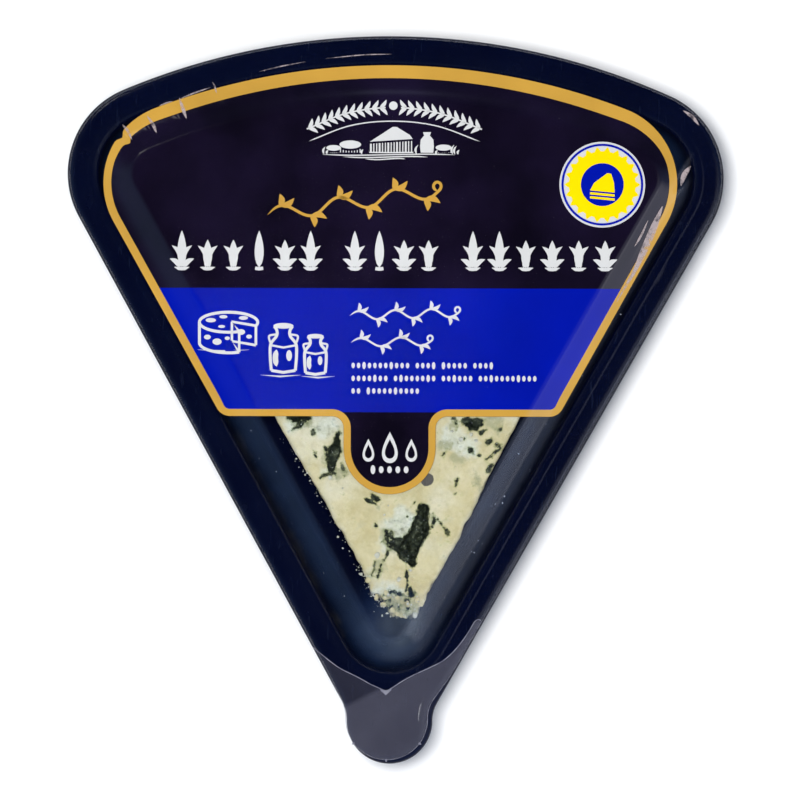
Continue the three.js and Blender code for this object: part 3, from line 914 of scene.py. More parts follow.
# The gold border: a strip inside the label's outline whose width eases from the back to the sides and the
# front.
points, normals = labelEdge
width = label["borderSide"] + (label["borderBack"] - label["borderSide"]) * ease(points[:, 1], 44, 56)
width += (label["borderFront"] - width) * ease(-points[:, 1], -3, 0)
border = points - np.linspace(1, 0.02, 7)[:, None, None] * width[:, None] * normals
printSlab("goldBorder", goldInk, [(border, True, False)], label["goldLift"])

# The blue band: a grid between the border's sides, from the front border up to its straight top. Its
# columns are closer together near the ends, where the cover slopes.
side = sideOffset - label["sideInset"] - label["borderSide"] * 0.5
y = np.linspace(label["borderFront"] * 0.6, label["bandTop"], 34)
reach = (side + (y + label["frontY"] - wedgeTipY) * math.sin(half)) / math.cos(half)
across = np.sin(np.linspace(-1, 1, 120) * math.pi / 2)
grid = np.stack([across[None] * reach[:, None], np.repeat(y[:, None], len(across), axis=1)], axis=-1)
printSlab("blueBand", blueInk, [(grid, False, False)], label["bandLift"])
print("label: sheet, border and band made")

# Print: leaves, vines, a drop and farm goods. Places are in the label's own plan.
frieze = {
    "foot": 25.6,
    "groups": [(-38.4, 4.5, "TllsLT"), (-8.1, 4.3, "TsLl"), (12.4, 4.62, "TTlLlL")],
    "tall": 6.8,
    "low": 5.2,
}


# One plant of the frieze: an upright leaf between two that bend outwards, on a short bar.
def friezePlant(x, kind):
    foot = frieze["foot"]
    high = frieze["tall"] if kind in "Ts" else frieze["low"]
    spread = {"T": 1.75, "L": 1.75, "l": 1.7, "s": 0}[kind]
    made = [leaf((x, foot + 0.4), (x, foot + high), 1.55)]
    if kind == "s":
        return made + [stroke([(x - 0.7, foot + 0.25), (x, foot + 0.15), (x + 0.7, foot + 0.25)], 0.6)]
    for way in (-1, 1):
        top = foot + high * (0.62 if kind == "T" else 0.8)
        made.append(leaf((x + 0.35 * way, foot + 0.4), (x + spread * way, top), 1.3, bend=0.24 * way))
        if kind in "LT":
            made.append(leaf((x + 0.5 * way, foot + 0.5), (x + 2.1 * way, foot + 1.9), 0.85,
                             bend=0.15 * way))
    bar = np.array([(-1.3, 0.42), (-0.6, 0.2), (0, 0.14), (0.6, 0.2), (1.3, 0.42)]) + [x, foot]
    return made + [stroke(bar, 0.6, taper=0.15)]


# A vine: a stem along a slanted sine wave, with leaves on alternate sides and a curl at its end.
def vine(start, end, swing, turns, width, leafLong, leafWide, curl=1.1):
    start, end = np.array(start, float), np.array(end, float)
    share = np.linspace(0, 1, 26 * turns)
    chord = end - start
    side = np.array([-chord[1], chord[0]]) / np.linalg.norm(chord)
    path = start + chord * share[:, None] + side * (swing * np.sin(share * turns * 2 * math.pi))[:, None]
    angle = np.linspace(0, 1.7 * math.pi, 30)
    heading = math.atan2(*(path[-1] - path[-2])[::-1])
    size = curl * np.linspace(1, 0.35, 30)
    hook = np.column_stack([size * np.sin(angle), size * (1 - np.cos(angle))])
    hook = turnPlan(hook, heading, path[-1])
    made = [stroke(np.vstack([path, hook[1:]]), width, taper=0.06)]
    for i in range(2 * turns):
        at = int((i + 0.5) / (2 * turns) * (len(path) - 1))
        way = 1 if i % 2 == 0 else -1
        ahead = path[at + 1] - path[at - 1]
        ahead /= np.linalg.norm(ahead)
        out = np.array([-ahead[1], ahead[0]]) * way
        for lean, long in ((0.9, 1.0), (0.2, 0.72)):
            top = path[at] + (ahead * lean + out * (1.15 - lean)) * leafLong * long
            made.append(leaf(path[at], top, leafWide, bend=-0.16 * way))
    return made


# Rows of seeds in groups: small ovals a fixed step apart, with a gap of one step between groups.
def seedRows(left, rows, step, wide, high):
    made = []
    for y, groups in rows:
        x = left
        for group in groups:
            for i in range(group):
                tall = high * (1.3 if (i * 7 + group) % 5 == 0 else 1)
                made.append(disc((x + i * step, y), wide, tall, 0.1, 2, 10))
            x += (group + 0.8) * step
    return made


# An arch of small leaves on both sides of a stem, from each end towards the middle, over a thin line.
def laurel():
    arch = smoothPath([(-14.6, 50.2), (-7.5, 53.0), (0.5, 54.0), (8.5, 53.0), (16.0, 50.2)], 24)
    gap = len(arch) // 2
    made = [stroke(arch[:gap - 3], 0.26), stroke(arch[gap + 4:], 0.26), disc((0.5, 54.3), 0.75)]
    line = smoothPath([(-14.2, 48.1), (-7, 50.8), (0.4, 51.6), (8, 50.8), (15.6, 48.1)], 16)
    made.append(stroke(line, 0.2, taper=0.05))
    for way, first in ((1, 1), (-1, len(arch) - 2)):
        for i in range(11):
            at = first + way * i * 4
            ahead = arch[at + way] - arch[at]
            ahead /= np.linalg.norm(ahead)
            out = np.array([-ahead[1], ahead[0]])
            for turn in (-1, 1):
                top = arch[at] + ahead * 1.25 + out * turn * 1.35
                made.append(leaf(arch[at], top, 0.62, bend=-0.1 * turn, rows=7))
    return made


# A still life under the arch: a cut cheese between two small wheels and a churn, on ground drawn with
# strokes.
def stillLife():
    made = []
    top = np.array([[(-3.6, 48.0), (3.9, 48.5)], [(-2.2, 48.9), (3.4, 49.2)], [(0.4, 50.6), (1.1, 50.6)]])
    made.append((top, False, False))
    for i, x in enumerate(np.linspace(-3.4, 3.7, 15)):
        made.append(stroke([(x, 46.2), (x, 47.1), (x, 47.65 + 0.035 * i)], 0.2 + 0.12 * (i % 3 == 0)))
    made.append(stroke([(-3.7, 46.15), (0, 46.1), (4.0, 46.15)], 0.22))
    for x, y, size in ((-7.0, 47.5, 1.9), (-9.9, 46.9, 1.3), (9.3, 47.0, 1.4)):
        made.append(disc((x, y), size, size * 0.38))
        for share in np.linspace(-0.9, 0.9, 8):
            high = y - 0.5 - 0.35 * size * math.sqrt(1 - share**2) * 0.9
            made.append(stroke([(x + share * size, high), (x + share * size, (high + 46.1) / 2),
                                (x + share * size, 46.1)], 0.16))
    churn = np.array([[(5.3, 46.1), (7.5, 46.1)], [(5.2, 47.2), (7.6, 47.2)], [(5.3, 48.4), (7.5, 48.4)],
                      [(5.9, 49.1), (6.9, 49.1)], [(5.7, 49.7), (7.1, 49.7)]])
    made.append((churn, False, False))
    for y, left, right in ((45.75, -11.9, 11.3), (45.35, -8.2, 6.5), (45.0, -4.4, 2.6)):
        ground = smoothPath([(left, y), (left / 2, y - 0.12), (right / 2, y + 0.1), (right, y)])
        made.append(stroke(ground, 0.2, 0.2))
    for x in (-11.6, -11.1, -5.0, 4.6, 8.0, 10.9, 11.3, 11.8):
        made.append(leaf((x, 45.8), (x + 0.25, 47.0 + 0.5 * math.sin(3 * x)), 0.34, bend=0.2, rows=6))
    return made


# A round of cheese with a piece cut out and two churns of two sizes on short ground lines, drawn with strokes
# and filled patches.
def farmGoods():
    wide, high = 5.1, 1.75
    middle = np.array([-28.2, 16.4])
    angle = np.linspace(-0.35, 1.62 * math.pi, 60)
    low = np.linspace(math.pi, 1.62 * math.pi, 26)
    rim = np.column_stack([wide * np.cos(angle), high * np.sin(angle)])
    base = np.column_stack([wide * np.cos(low), high * np.sin(low) - 3.6])
    lines = [
        (rim, 0.5), ([rim[-1], (0.6, 0.1), rim[0]], 0.45), (base, 0.5),
        ([rim[-1], (rim[-1] + base[-1]) / 2, base[-1]], 0.42),
        ([(-wide, 0), (-wide, -1.8), (-wide, -3.6)], 0.5),
        ([(0.6, 0.1), (0.6, -1.6), (0.6, -3.2)], 0.42),
        ([rim[0], rim[0] - [0, 1.8], rim[0] - [0, 3.4]], 0.45),
        ([base[-1], (0.6, -3.3), rim[0] - [0, 3.4]], 0.45),
    ]
    made = [stroke(middle + np.array(line), width) for line, width in lines]
    for x, y, size in ((-3.1, 0.35, 0.9), (-0.9, 0.95, 0.7), (2.6, 0.75, 0.8), (-1.2, -0.75, 0.6)):
        made.append(disc(middle + [x, y], size, size * 0.42))
    for x, y, size in ((-3.7, -2.6, 0.6), (-2.0, -3.4, 0.8), (-0.2, -2.8, 0.45), (2.2, -1.7, 0.7),
                       (3.6, -2.5, 0.5)):
        made.append(disc(middle + [x, y], size, size * 0.7))
    for x, y, size in ((-18.6, 8.0, 1.0), (-13.0, 7.6, 0.82)):
        foot = np.array([x, y])
        body = [(-2.1, 0), (-2.3, 2.6), (-2.2, 4.6), (-1.2, 6.0), (-1.15, 7.0), (-1.6, 7.7)]
        left = smoothPath(foot + size * np.array(body), 6)
        right = left * [-1, 1] + [2 * x, 0]
        made += [stroke(left, 0.5), stroke(right, 0.5)]
        made.append(stroke([left[0], foot - [0, 0.35 * size], right[0]], 0.5))
        made.append(disc(foot + [0, 7.8 * size], 1.75 * size, 0.5 * size))
        made.append(stroke(foot + size * np.array([(-2.2, 4.4), (0, 4.0), (2.2, 4.4)]), 0.36))
        shine = smoothPath(foot + size * np.array([(-1.2, 0.7), (-1.4, 2.2), (-1.2, 3.6)]), 6)
        made.append(stroke(shine, 0.95 * size, taper=0.3))
        made.append(disc(foot + [size, 2.6 * size], 0.5 * size, 0.95 * size))
        for way in (-1, 1):
            handle = foot + size * np.array([(1.3 * way, 6.3), (2.5 * way, 6.0), (2.3 * way, 4.9)])
            made.append(stroke(smoothPath(handle, 6), 0.36))
    for left, right, at in ((-33.6, -24.6, 11.6), (-22.6, -15.6, 7.2), (-15.4, -9.6, 7.0)):
        made.append(stroke([(left, at), ((left + right) / 2, at - 0.25), (right, at)], 0.3, taper=0.3))
    return made


# A rosette: a white disc, a yellow ring with petals, blue rings, and a plain cut cheese in its middle. Each
# part is printed a little over the one before.
def rosette():
    centre = np.array([37.05, 40.6])
    turns = np.arange(22) / 22 * 2 * math.pi
    rays = np.column_stack([np.cos(turns), np.sin(turns)])
    block = np.array([[(34.9, 39.6), (39.2, 39.2)], [(35.6, 40.9), (39.1, 40.9)],
                      [(37.9, 42.6), (38.6, 42.5)]])
    bars = [stroke([(34.9, y), (37.0, y - 0.2), (39.2, y - 0.4)], 0.4) for y in (39.1, 38.4)]
    return [
        ("Disc", whiteInk, 0.0, [disc(centre, 7.5, rows=9, columns=64)]),
        ("Petals", yellowInk, 0.03, [leaf(centre + ray * 3.6, centre + ray * 6.6, 1.5) for ray in rays]),
        ("Ring", yellowInk, 0.085, [disc(centre, 5.85, inner=0.6, rows=4, columns=64)]),
        ("Blue", blueInk, 0.11, [disc(centre, 7.15, inner=0.945, rows=2, columns=64),
                                 disc(centre, 3.75, rows=5, columns=48)]),
        ("Cheese", yellowInk, 0.14, [(block, False, False)] + bars),
    ]


whitePrint = laurel() + stillLife()
for start, step, kinds in frieze["groups"]:
    for i, kind in enumerate(kinds):
        whitePrint += friezePlant(start + (i + 0.45) * step, kind)
printSlab("whiteFrieze", whiteInk, whitePrint)
printSlab("goldVine", goldInk, vine((-21.4, 35.2), (8.6, 39.6), 1.25, 3, 0.5, 3.0, 1.05))
onBand = farmGoods()
onBand += vine((-7.0, 17.6), (12.0, 18.2), 0.75, 3, 0.34, 2.1, 0.62, curl=0.75)
onBand += vine((-6.8, 12.9), (7.2, 13.2), 0.75, 2, 0.34, 2.1, 0.62, curl=0.75)
onBand += seedRows(-6.4, [(8.9, (11, 4, 5, 4)), (6.65, (7, 8, 6, 11)), (4.45, (2, 10))], 0.95, 0.31, 0.5)
printSlab("whiteBandPrint", whiteInk, onBand, label["bandLift"] + label["printLift"])
tonguePrint = [drop((0.05, -5.4), 1.9, 2.75, inner=0.62)]
tonguePrint += [drop((x, -5.9), 1.4, 2.0, inner=0.6) for x in (-3.7, 3.8)]
printSlab("whiteTonguePrint", whiteInk, tonguePrint + seedRows(-2.9, [(-9.3, (5,))], 1.45, 0.42, 0.62))
for part, ink, lift, patches in rosette():
    printSlab("rosette" + part, ink, patches, label["printLift"] + lift)

# Painted glints: pale streaks that stand for highlights where the film and the label bend. Each is a path with
# a width, first on the label and then on the film beside it.
paintedGlints = {
    "label": [
        ([(-46.2, 45.0), (-47.0, 46.6), (-47.9, 47.6)], 0.5),
        ([(-41.9, 46.2), (-42.5, 47.6), (-43.6, 49.2)], 0.55),
        ([(-36.7, 48.8), (-37.3, 50.4), (-38.0, 52.4)], 0.6),
        ([(-31.5, 53.3), (-31.8, 54.4), (-32.2, 55.2)], 0.3),
        ([(46.7, 34.4), (44.4, 28.6), (41.3, 21.4)], 1.3),
        ([(45.4, 30.6), (42.2, 23.6), (38.9, 17.6)], 0.55),
        ([(44.2, 31.9), (43.0, 29.2), (41.9, 27.3)], 0.4),
    ],
    "film": [
        ([(49.9, 38.0), (50.5, 40.0), (51.6, 41.5)], 0.9),
        ([(-41.5, 51.0), (-40.2, 51.5), (-38.9, 51.8)], 0.3),
        ([(-38.0, 52.2), (-35.4, 53.3), (-32.6, 54.3)], 0.26),
        ([(50.2, 51.2), (51.8, 50.1), (53.0, 48.6)], 0.6),
        ([(-24.0, 57.2), (-20.0, 58.2), (-16.0, 59.0)], 0.2),
        ([(-12.5, 59.6), (-6.0, 60.3), (-1.0, 60.5)], 0.18),
    ],
}


# Paints the glints as cloudy pale streaks, just over the label and just over the film.
def makePaintedGlints():
    paint = newPaint("paintedGlint")
    cloud = paint.ramp(paint.noise(1.1), [(0.36, 0.06), (0.58, 0.5)])
    pale = paint.node("BsdfPrincipled", {"Base Color": (0.55, 0.46, 0.46, 1), "Roughness": 0.4})
    clear = paint.node("BsdfTransparent", {"Color": (1, 1, 1, 1)})
    material = paint.finish("MixShader", {0: cloud, 1: clear.outputs[0], 2: pale.outputs[0]})
    for name, lift in (("label", label["thickness"] + 0.15), ("film", 0.02)):
        patches = [stroke(smoothPath(path, 10), width, taper=0.45) for path, width in paintedGlints[name]]
        slabMesh(name + "PaintedGlints", patches, lambda plan: onCover(plan, lift), 0.01, material, "clear_film")


makePaintedGlints()
print("label: print and creases made")

# Cheese. Places on its top are in its own plan: sideways from the middle line, and outwards from its ideal
# tip.
cheese = {
    "tipShift": 2.3,
    "turn": math.radians(1.9),
    "tipRadius": 3.0,
    "cornerRadius": 3.0,
    "edgeRound": 0.8,
    # Cavities lined with mould: depth, then places with a radius each.
    "cavities": [
        (1.9, [(3.9, 22.0, 1.2), (3.5, 20.0, 1.3), (3.2, 18.1, 1.75), (2.0, 16.4, 1.9), (1.0, 14.7, 1.8),
               (1.7, 13.2, 1)]),
        (0.5, [(-0.6, 16.0, 0.6), (-2.3, 16.4, 0.4), (-2.6, 17.5, 0.3), (-1.8, 18.1, 0.15)]),
        (0.4, [(-1.2, 15.5, 0.2), (-2.3, 14.8, 0.15), (-2.9, 13.4, 0.12), (-3.7, 12.4, 0.4),
               (-4.2, 10.7, 0.05)]),
        (0.3, [(0.8, 13.2, 0.12), (0.7, 11.6, 0.05), (0.8, 9.1, 0.08), (0.6, 7.9, 0.15)]),
        (1.2, [(-10.6, 35.6, 0.6), (-10.9, 33.9, 0.85), (-11.6, 32.7, 1.0), (-11.8, 31.1, 1.2),
               (-11.8, 29.8, 0.8)]),
        (0.4, [(-11.3, 28.7, 0.3), (-12.6, 28.5, 0.25), (-14.0, 27.9, 0.25)]),
        (0.3, [(-4.9, 24.5, 0.25), (-3.9, 23.9, 0.35)]), (0.3, [(-4.5, 19.9, 0.25), (-4.4, 19.4, 0.2)]),
        (0.3, [(6.4, 20.3, 0.2), (7.1, 19.3, 0.15), (7.9, 18.5, 0.25), (8.0, 17.5, 0.12)]),
        (0.9, [(11.6, 37.4, 0.95), (13.0, 36.9, 1.1), (14.5, 37.4, 0.5)]), (0.4, [(12.5, 35.9, 0.45)]),
        (0.3, [(15.2, 33.6, 0.3), (16.2, 34.0, 0.3)]), (0.3, [(12.5, 32.2, 0.35)]),
        (0.2, [(17.1, 32.1, 0.12), (16.1, 31.2, 0.1), (15.0, 30.7, 0.15)]),
        (0.3, [(-16.0, 38.4, 0.6), (-17.2, 37.3, 0.45), (-18.7, 36.4, 0.15)]), (0.3, [(-15.0, 35.9, 0.25)]),
        (0.5, [(-4.5, 5.9, 0.25), (-2.3, 6.3, 0.2)]), (0.7, [(-0.8, 5.3, 0.5)]),
        (0.8, [(1.5, 7.1, 0.6), (1.3, 8.3, 0.2)]), (0.6, [(1.0, 4.9, 0.4)]),
        (0.6, [(-5.5, 7.2, 0.45), (-5.9, 6.2, 0.3)]), (0.2, [(10.0, 27.2, 0.1), (9.7, 25.9, 0.05)]),
        (0.2, [(9.6, 24.7, 0.2)]), (0.2, [(10.8, 24.8, 0.12)]), (0.2, [(8.2, 22.9, 0.02)]),
        (0.3, [(-15.4, 33.4, 0.1), (-14.6, 31.6, 0.05)]),
        (0.5, [(-9.5, 42.5, 1.6), (-4.0, 45.0, 0.8), (3.0, 44.0, 1.2)]),
        (0.8, [(-19.2, 38.9, 0.7), (-17.8, 38.4, 0.9), (-16.4, 39.2, 0.8)]),
        (0.3, [(-13.0, 33.6, 0.15), (-12.6, 31.4, 0.3), (-13.4, 29.6, 0.1)]),
        (0.3, [(-10.4, 30.4, 0.3), (-9.6, 29.0, 0.2), (-9.9, 28.0, 0.1)]),
        (0.3, [(-3.1, 18.9, 0.1), (-2.5, 17.9, 0.25), (-1.3, 17.0, 0.3), (0.1, 16.8, 0.4)]),
        (0.3, [(-3.4, 16.6, 0.1), (-2.4, 16.0, 0.2), (-1.4, 15.2, 0.25), (0.0, 14.9, 0.3)]),
        (0.2, [(-4.6, 13.2, 0.1), (-4.9, 11.9, 0.15), (-5.4, 10.6, 0.1)]),
        (0.2, [(2.6, 23.6, 0.1), (1.6, 22.3, 0.05), (1.1, 20.9, 0.1)]),
        (0.3, [(5.6, 21.6, 0.1), (5.9, 20.2, 0.25), (5.4, 18.9, 0.1)]),
        (0.3, [(9.6, 37.8, 0.3), (10.4, 36.6, 0.2), (9.9, 35.7, 0.1)]),
        (0.3, [(14.4, 35.2, 0.25), (15.2, 35.7, 0.1)]), (0.3, [(17.3, 36.4, 0.35), (18.0, 35.2, 0.2)]),
        (0.2, [(16.9, 33.2, 0.15), (17.6, 32.6, 0.1)]), (0.2, [(13.9, 31.2, 0.25)]),
        (0.2, [(11.4, 34.3, 0.2)]), (0.2, [(8.4, 32.4, 0.1), (7.6, 31.6, 0.15)]),
        (0.2, [(15.9, 29.4, 0.15), (15.2, 28.4, 0.2)]), (0.2, [(-5.8, 23.9, 0.2), (-4.4, 23.2, 0.1)]),
        (0.3, [(-3.4, 7.4, 0.2), (-1.8, 7.9, 0.25), (-0.2, 7.2, 0.2)]),
        (0.4, [(-3.0, 4.9, 0.2), (-1.9, 5.4, 0.25)]), (0.4, [(0.4, 6.3, 0.25), (1.2, 5.9, 0.15)]),
    ],
    # Fainter green and brown stains.
    "stains": [
        [(13.6, 26.9, 0.7), (13.9, 25.8, 0.5)], [(7.5, 33.6, 0.7), (8.6, 32.8, 0.4)],
        [(9.4, 31.1, 0.5), (10.6, 30.4, 0.5)], [(-3.9, 12.0, 0.9)], [(-10.5, 28.9, 1.0)],
        [(-17.2, 38.2, 1.6)], [(-13.2, 31.0, 0.5), (-12.9, 33.0, 0.4)],
        [(-2.4, 17.6, 1.0), (-1.6, 15.6, 0.7)], [(5.7, 20.4, 0.7)], [(10.0, 36.6, 0.8)],
        [(17.2, 35.6, 0.7)], [(16.5, 37.0, 1.3)], [(-2.6, 6.4, 1.2), (1.0, 6.0, 1.3)], [(-3.9, 22.6, 0.5)],
        [(1.0, 5.0, 1.2)],
    ],
    # Whitish and greyish patches of curd.
    "pale": [
        [(9.5, 34.8, 2.4), (11.9, 33.1, 1.8)], [(0.4, 21.0, 1.9), (-0.6, 18.8, 2.2), (-2.4, 16.8, 1.2)],
        [(-3.9, 8.4, 1.6), (-1.2, 7.4, 1.3)], [(-6.0, 10.6, 0.9)], [(2.0, 4.1, 1.0)], [(-12.9, 36.8, 1.7)],
        [(-18.6, 37.2, 1.3)], [(5.8, 20.3, 0.8)], [(-13.4, 28.9, 0.8)],
    ],
    "smoothSpot": (4.7, 27.3, 1.15),
}


# The portion's outline about its ideal tip: a blunt tip, two cut faces and the rind's arc, with the points on
# the cut faces closer together towards the tip.
def cheeseOutline():
    tipRadius, cornerRadius = cheese["tipRadius"], cheese["cornerRadius"]
    centre = np.array([0, tipRadius / math.sin(half)])
    reach = packShape["wheelRadius"] - cornerRadius
    corner = -cornerRadius * outward + along * math.sqrt(reach**2 - cornerRadius**2)
    bend = math.atan2(corner[1], corner[0])
    tip = arcRun(centre, tipRadius, -math.pi / 2, -half, 24)
    first = (centre - [0, tipRadius], np.array([0.0, -1.0]))
    edge, flat = lineRun(tip[0][-1], corner + cornerRadius * outward, outward, 150)
    far = np.linspace(0, 1, 151)[1:, None] ** 1.5
    edge = tip[0][-1] + far * (corner + cornerRadius * outward - tip[0][-1])
    runs = [
        tip,
        (edge, flat),
        arcRun(corner, cornerRadius, -half, bend, 10),
        arcRun(np.zeros(2), packShape["wheelRadius"], bend, math.pi / 2, 50),
    ]
    points, normals = closeOutline(first, runs)
    return points - [0, wedgeTipY], normals


# Cream curd with whitish patches, stains and flecks, and dark mould where the mesh's attributes put it, with
# painted sparkle in the mould.
def makeCheeseMaterial():
    paint = newPaint("blueCheese")
    mould = paint.attribute("mould")
    stain = paint.attribute("stain")
    pale = paint.attribute("pale")
    spot = paint.attribute("spot")
    ragged = paint.math("SUBTRACT", paint.noise(0.9, detail=7, roughness=0.7), 0.5)
    broad = paint.math("SUBTRACT", paint.noise(3.4, detail=4, roughness=0.6), 0.5)
    patch = paint.noise(8, detail=5)
    cream = paint.ramp(patch, [(0.32, (0.64, 0.565, 0.32)), (0.5, (0.69, 0.63, 0.395)),
                               (0.68, (0.73, 0.695, 0.52))])
    curd = paint.ramp(paint.noise(0.9, detail=4), [(0.3, (0.9, 0.9, 0.88)), (0.6, (1, 1, 1))])
    cream = paint.mix(1.0, cream, curd, "MULTIPLY")
    grains = paint.ramp(paint.noise(2.6, detail=5, roughness=0.65), [
        (0.35, (0.9, 0.89, 0.84)), (0.5, (1, 1, 1)), (0.66, (1.06, 1.06, 1.12))])
    cream = paint.mix(1.0, cream, grains, "MULTIPLY")
    # Whitish curd, with grey rings in it.
    paleEdge = paint.math("ADD", pale, paint.math("MULTIPLY", broad, 2.2))
    paleShare = paint.ramp(paleEdge, [(0.2, 0.0), (1.0, 0.8)])
    rings = paint.ramp(paint.noise(1.7, detail=7, roughness=0.66), [
        (0.3, (0.1, 0.13, 0.1)), (0.37, (0.3, 0.35, 0.3)), (0.42, (0.56, 0.6, 0.5)),
        (0.5, (0.66, 0.69, 0.58)), (0.57, (0.74, 0.77, 0.68)), (0.63, (0.5, 0.56, 0.5)),
        (0.7, (0.3, 0.36, 0.33))])
    cream = paint.mix(paleShare, cream, rings)
    # Stains, then dark mould with a grey-green rim, all with ragged edges.
    stainEdge = paint.math("ADD", stain, paint.math("MULTIPLY", ragged, 2.6))
    stained = paint.ramp(broad, [(0.0, (0.4, 0.4, 0.24)), (0.1, (0.28, 0.3, 0.18))])
    cream = paint.mix(paint.ramp(stainEdge, [(0.45, 0.0), (1.1, 0.78)]), cream, stained)
    fleckNoise = paint.noise(1.7, detail=3)
    flecks = paint.ramp(fleckNoise, [(0.67, 0.0), (0.75, 0.55)])
    cream = paint.mix(flecks, cream, (0.36, 0.38, 0.24, 1))
    field = paint.math("ADD", mould, paint.math("MULTIPLY", ragged, 1.9))
    field = paint.math("ADD", field, paint.math("MULTIPLY", broad, 0.5))
    rim = paint.ramp(field, [(0.16, (1, 1, 1)), (0.34, (0.84, 0.88, 0.78)), (0.48, (0.52, 0.58, 0.46)),
                               (0.57, (0.2, 0.24, 0.18)), (0.63, (0.06, 0.075, 0.055))])
    color = paint.mix(1.0, cream, rim, "MULTIPLY")
    lining = paint.ramp(paint.noise(1.3, detail=6, roughness=0.62), [
        (0.36, (0.006, 0.008, 0.006)), (0.5, (0.018, 0.024, 0.014)), (0.58, (0.05, 0.06, 0.036)),
        (0.66, (0.15, 0.17, 0.11)), (0.76, (0.42, 0.44, 0.34))])
    # Painted sparkle: pale specks in the dark mould stand for glints on its wet surface.
    paintedSparkle = paint.ramp(paint.noise(0.45, detail=2), [(0.69, 0.0), (0.74, 0.8)])
    lining = paint.mix(paintedSparkle, lining, (0.62, 0.66, 0.6, 1))
    color = paint.mix(paint.ramp(field, [(0.54, 0.0), (0.64, 1.0)]), color, lining)
    spotEdge = paint.math("ADD", spot, paint.math("MULTIPLY", ragged, 0.3))
    color = paint.mix(paint.ramp(spotEdge, [(0.45, 0.0), (0.55, 0.92)]), color, (0.075, 0.072, 0.08, 1))
    inside = paint.ramp(field, [(0.5, 0.25), (0.62, 1.0)])
    lumps = paint.math("MULTIPLY", paint.noise(0.8, detail=5, roughness=0.6), inside)
    return paint.finish("BsdfPrincipled", {
        "Base Color": color, "Roughness": paint.ramp(paint.noise(2.2), [(0.3, 0.25), (0.7, 0.5)]),
        "Normal": paint.bump(lumps, 0.9, 0.4, paint.bump(patch, 0.35, 0.8)), "Subsurface Weight": 0.2,
        "Subsurface Scale": 0.0012, "Subsurface Radius": (1.0, 0.8, 0.45)})


# The nearest chain's field for each point, as the least of them all, with seeded noise on its edge.
def nearestField(flat, chains, wander):
    shift = np.column_stack([flat, np.zeros(len(flat))])
    edge = wander * roughNoise(shift, 2.2, 21, octaves=3)
    return np.min([chainField(flat, chain) for chain in chains], axis=0) + edge


def makeCheese(material):
    outline, normals = cheeseOutline()
    middle = np.array([0.0, 20.0])
    bottom, top = cheeseLow[2], cheeseHigh[2]
    soft = cheese["edgeRound"]
    angle = np.linspace(0, math.pi / 2, 5)[1:]
    core = outline - soft * normals
    bend = [(outline - soft * (1 - math.sin(a)) * normals, soft * (1 - math.cos(a))) for a in angle]
    rings = [(middle + (core - middle) * share, top) for share in np.linspace(0.008, 0.99, 128)]
    rings += [(ring, top - drop) for ring, drop in bend]
    rings += [(outline, z) for z in np.linspace(top - soft, bottom + soft, 22)[1:]]
    rings += [(ring, bottom + drop) for ring, drop in bend[::-1]]
    rings += [(middle + (core - middle) * share, bottom) for share in np.linspace(0.98, 0.02, 10)]
    points, faces = ringBody(np.stack([ringAt(*ring) for ring in rings]))
    flat = points[:, :2].copy()
    high = ease(points[:, 2], top - 5, top - 0.5)
    # The cut edges wander, and the tip's left side bulges.
    out = flat - middle
    out /= np.linalg.norm(out, axis=1)[:, None] + 1e-9
    rim = 1 - ease(sideGap(flat), 0.0, 2.2)
    bulge = 1.1 * np.exp(-(((flat[:, 1] - 7.8) / 2.6) ** 2)) * (flat[:, 0] < 0)
    loose = 1 - ease(flat[:, 1], 6, 12)
    wander = (0.3 + 0.9 * loose) * roughNoise(points, 2.3, 31) - 0.35 * loose
    wander += np.where(flat[:, 0] > 0, 0.4, 0.05) * high
    points[:, :2] += out * (rim * (wander + bulge * high))[:, None]
    fields = np.array([chainField(flat, chain) for depth, chain in cheese["cavities"]])
    depths = np.array([depth for depth, chain in cheese["cavities"]])
    ragged = 0.28 * roughNoise(points, 1.8, 41, octaves=3)
    nearest = fields.argmin(axis=0)
    field = fields.min(axis=0) + ragged
    # Beyond the listed cavities, veins run where a noise passes through zero.
    veins = np.abs(roughNoise(points, 11, 50)) * 9 - 0.55 + 1.6 * (softNoise(points, 13, 60) < 0.05)
    deep = np.maximum(ease(flat[:, 1], 38, 44), 1 - ease(points[:, 2], top - 6, top - 1.5))
    field = np.where(deep > 0.5, np.minimum(field, veins), field)
    pit = ease(-field, -0.15, 0.75) * depths[nearest] * high
    crumbs = 1 - ease(flat[:, 1], 5, 13)
    lumpy = 0.9 * np.maximum(roughNoise(points, 1.6, 71, octaves=3), -0.3) * crumbs
    lumpy += 0.1 * roughNoise(points, 3, 81)
    points[:, 2] -= high * np.clip(pit * (0.8 + 0.4 * softNoise(points, 0.7, 91)) + 0.16 + lumpy, 0, 3)
    values = {
        "mould": np.clip(0.5 - field, 0, 1),
        "stain": np.clip(0.75 - nearestField(flat, cheese["stains"], 0.55) / 1.3, 0, 1) * high,
        "pale": np.clip(0.6 - nearestField(flat, cheese["pale"], 0.6) / 1.6, 0, 1) * high,
        "spot": np.clip(0.5 - nearestField(flat, [[cheese["smoothSpot"]]], 0.15), 0, 1) * high,
    }
    made = addMesh("cheeseWedge", onCheese(points), faces, material, "cheese")
    for name, value in values.items():
        addAttribute(made, name, value)
    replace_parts(made, "cheese_wedge")


# How far inside the nearer cut face a point of the cheese's plan lies.
def sideGap(flat):
    return -(np.abs(flat[:, 0]) * outward[0] + flat[:, 1] * outward[1])


# From the cheese's own plan into the frame: turned, and moved with its tip.
def onCheese(points):
    return ringAt(turnPlan(points, cheese["turn"], (cheese["tipShift"], wedgeTipY)), points[:, 2])


cheeseMaterial = makeCheeseMaterial()
makeCheese(cheeseMaterial)
print("cheese: made")

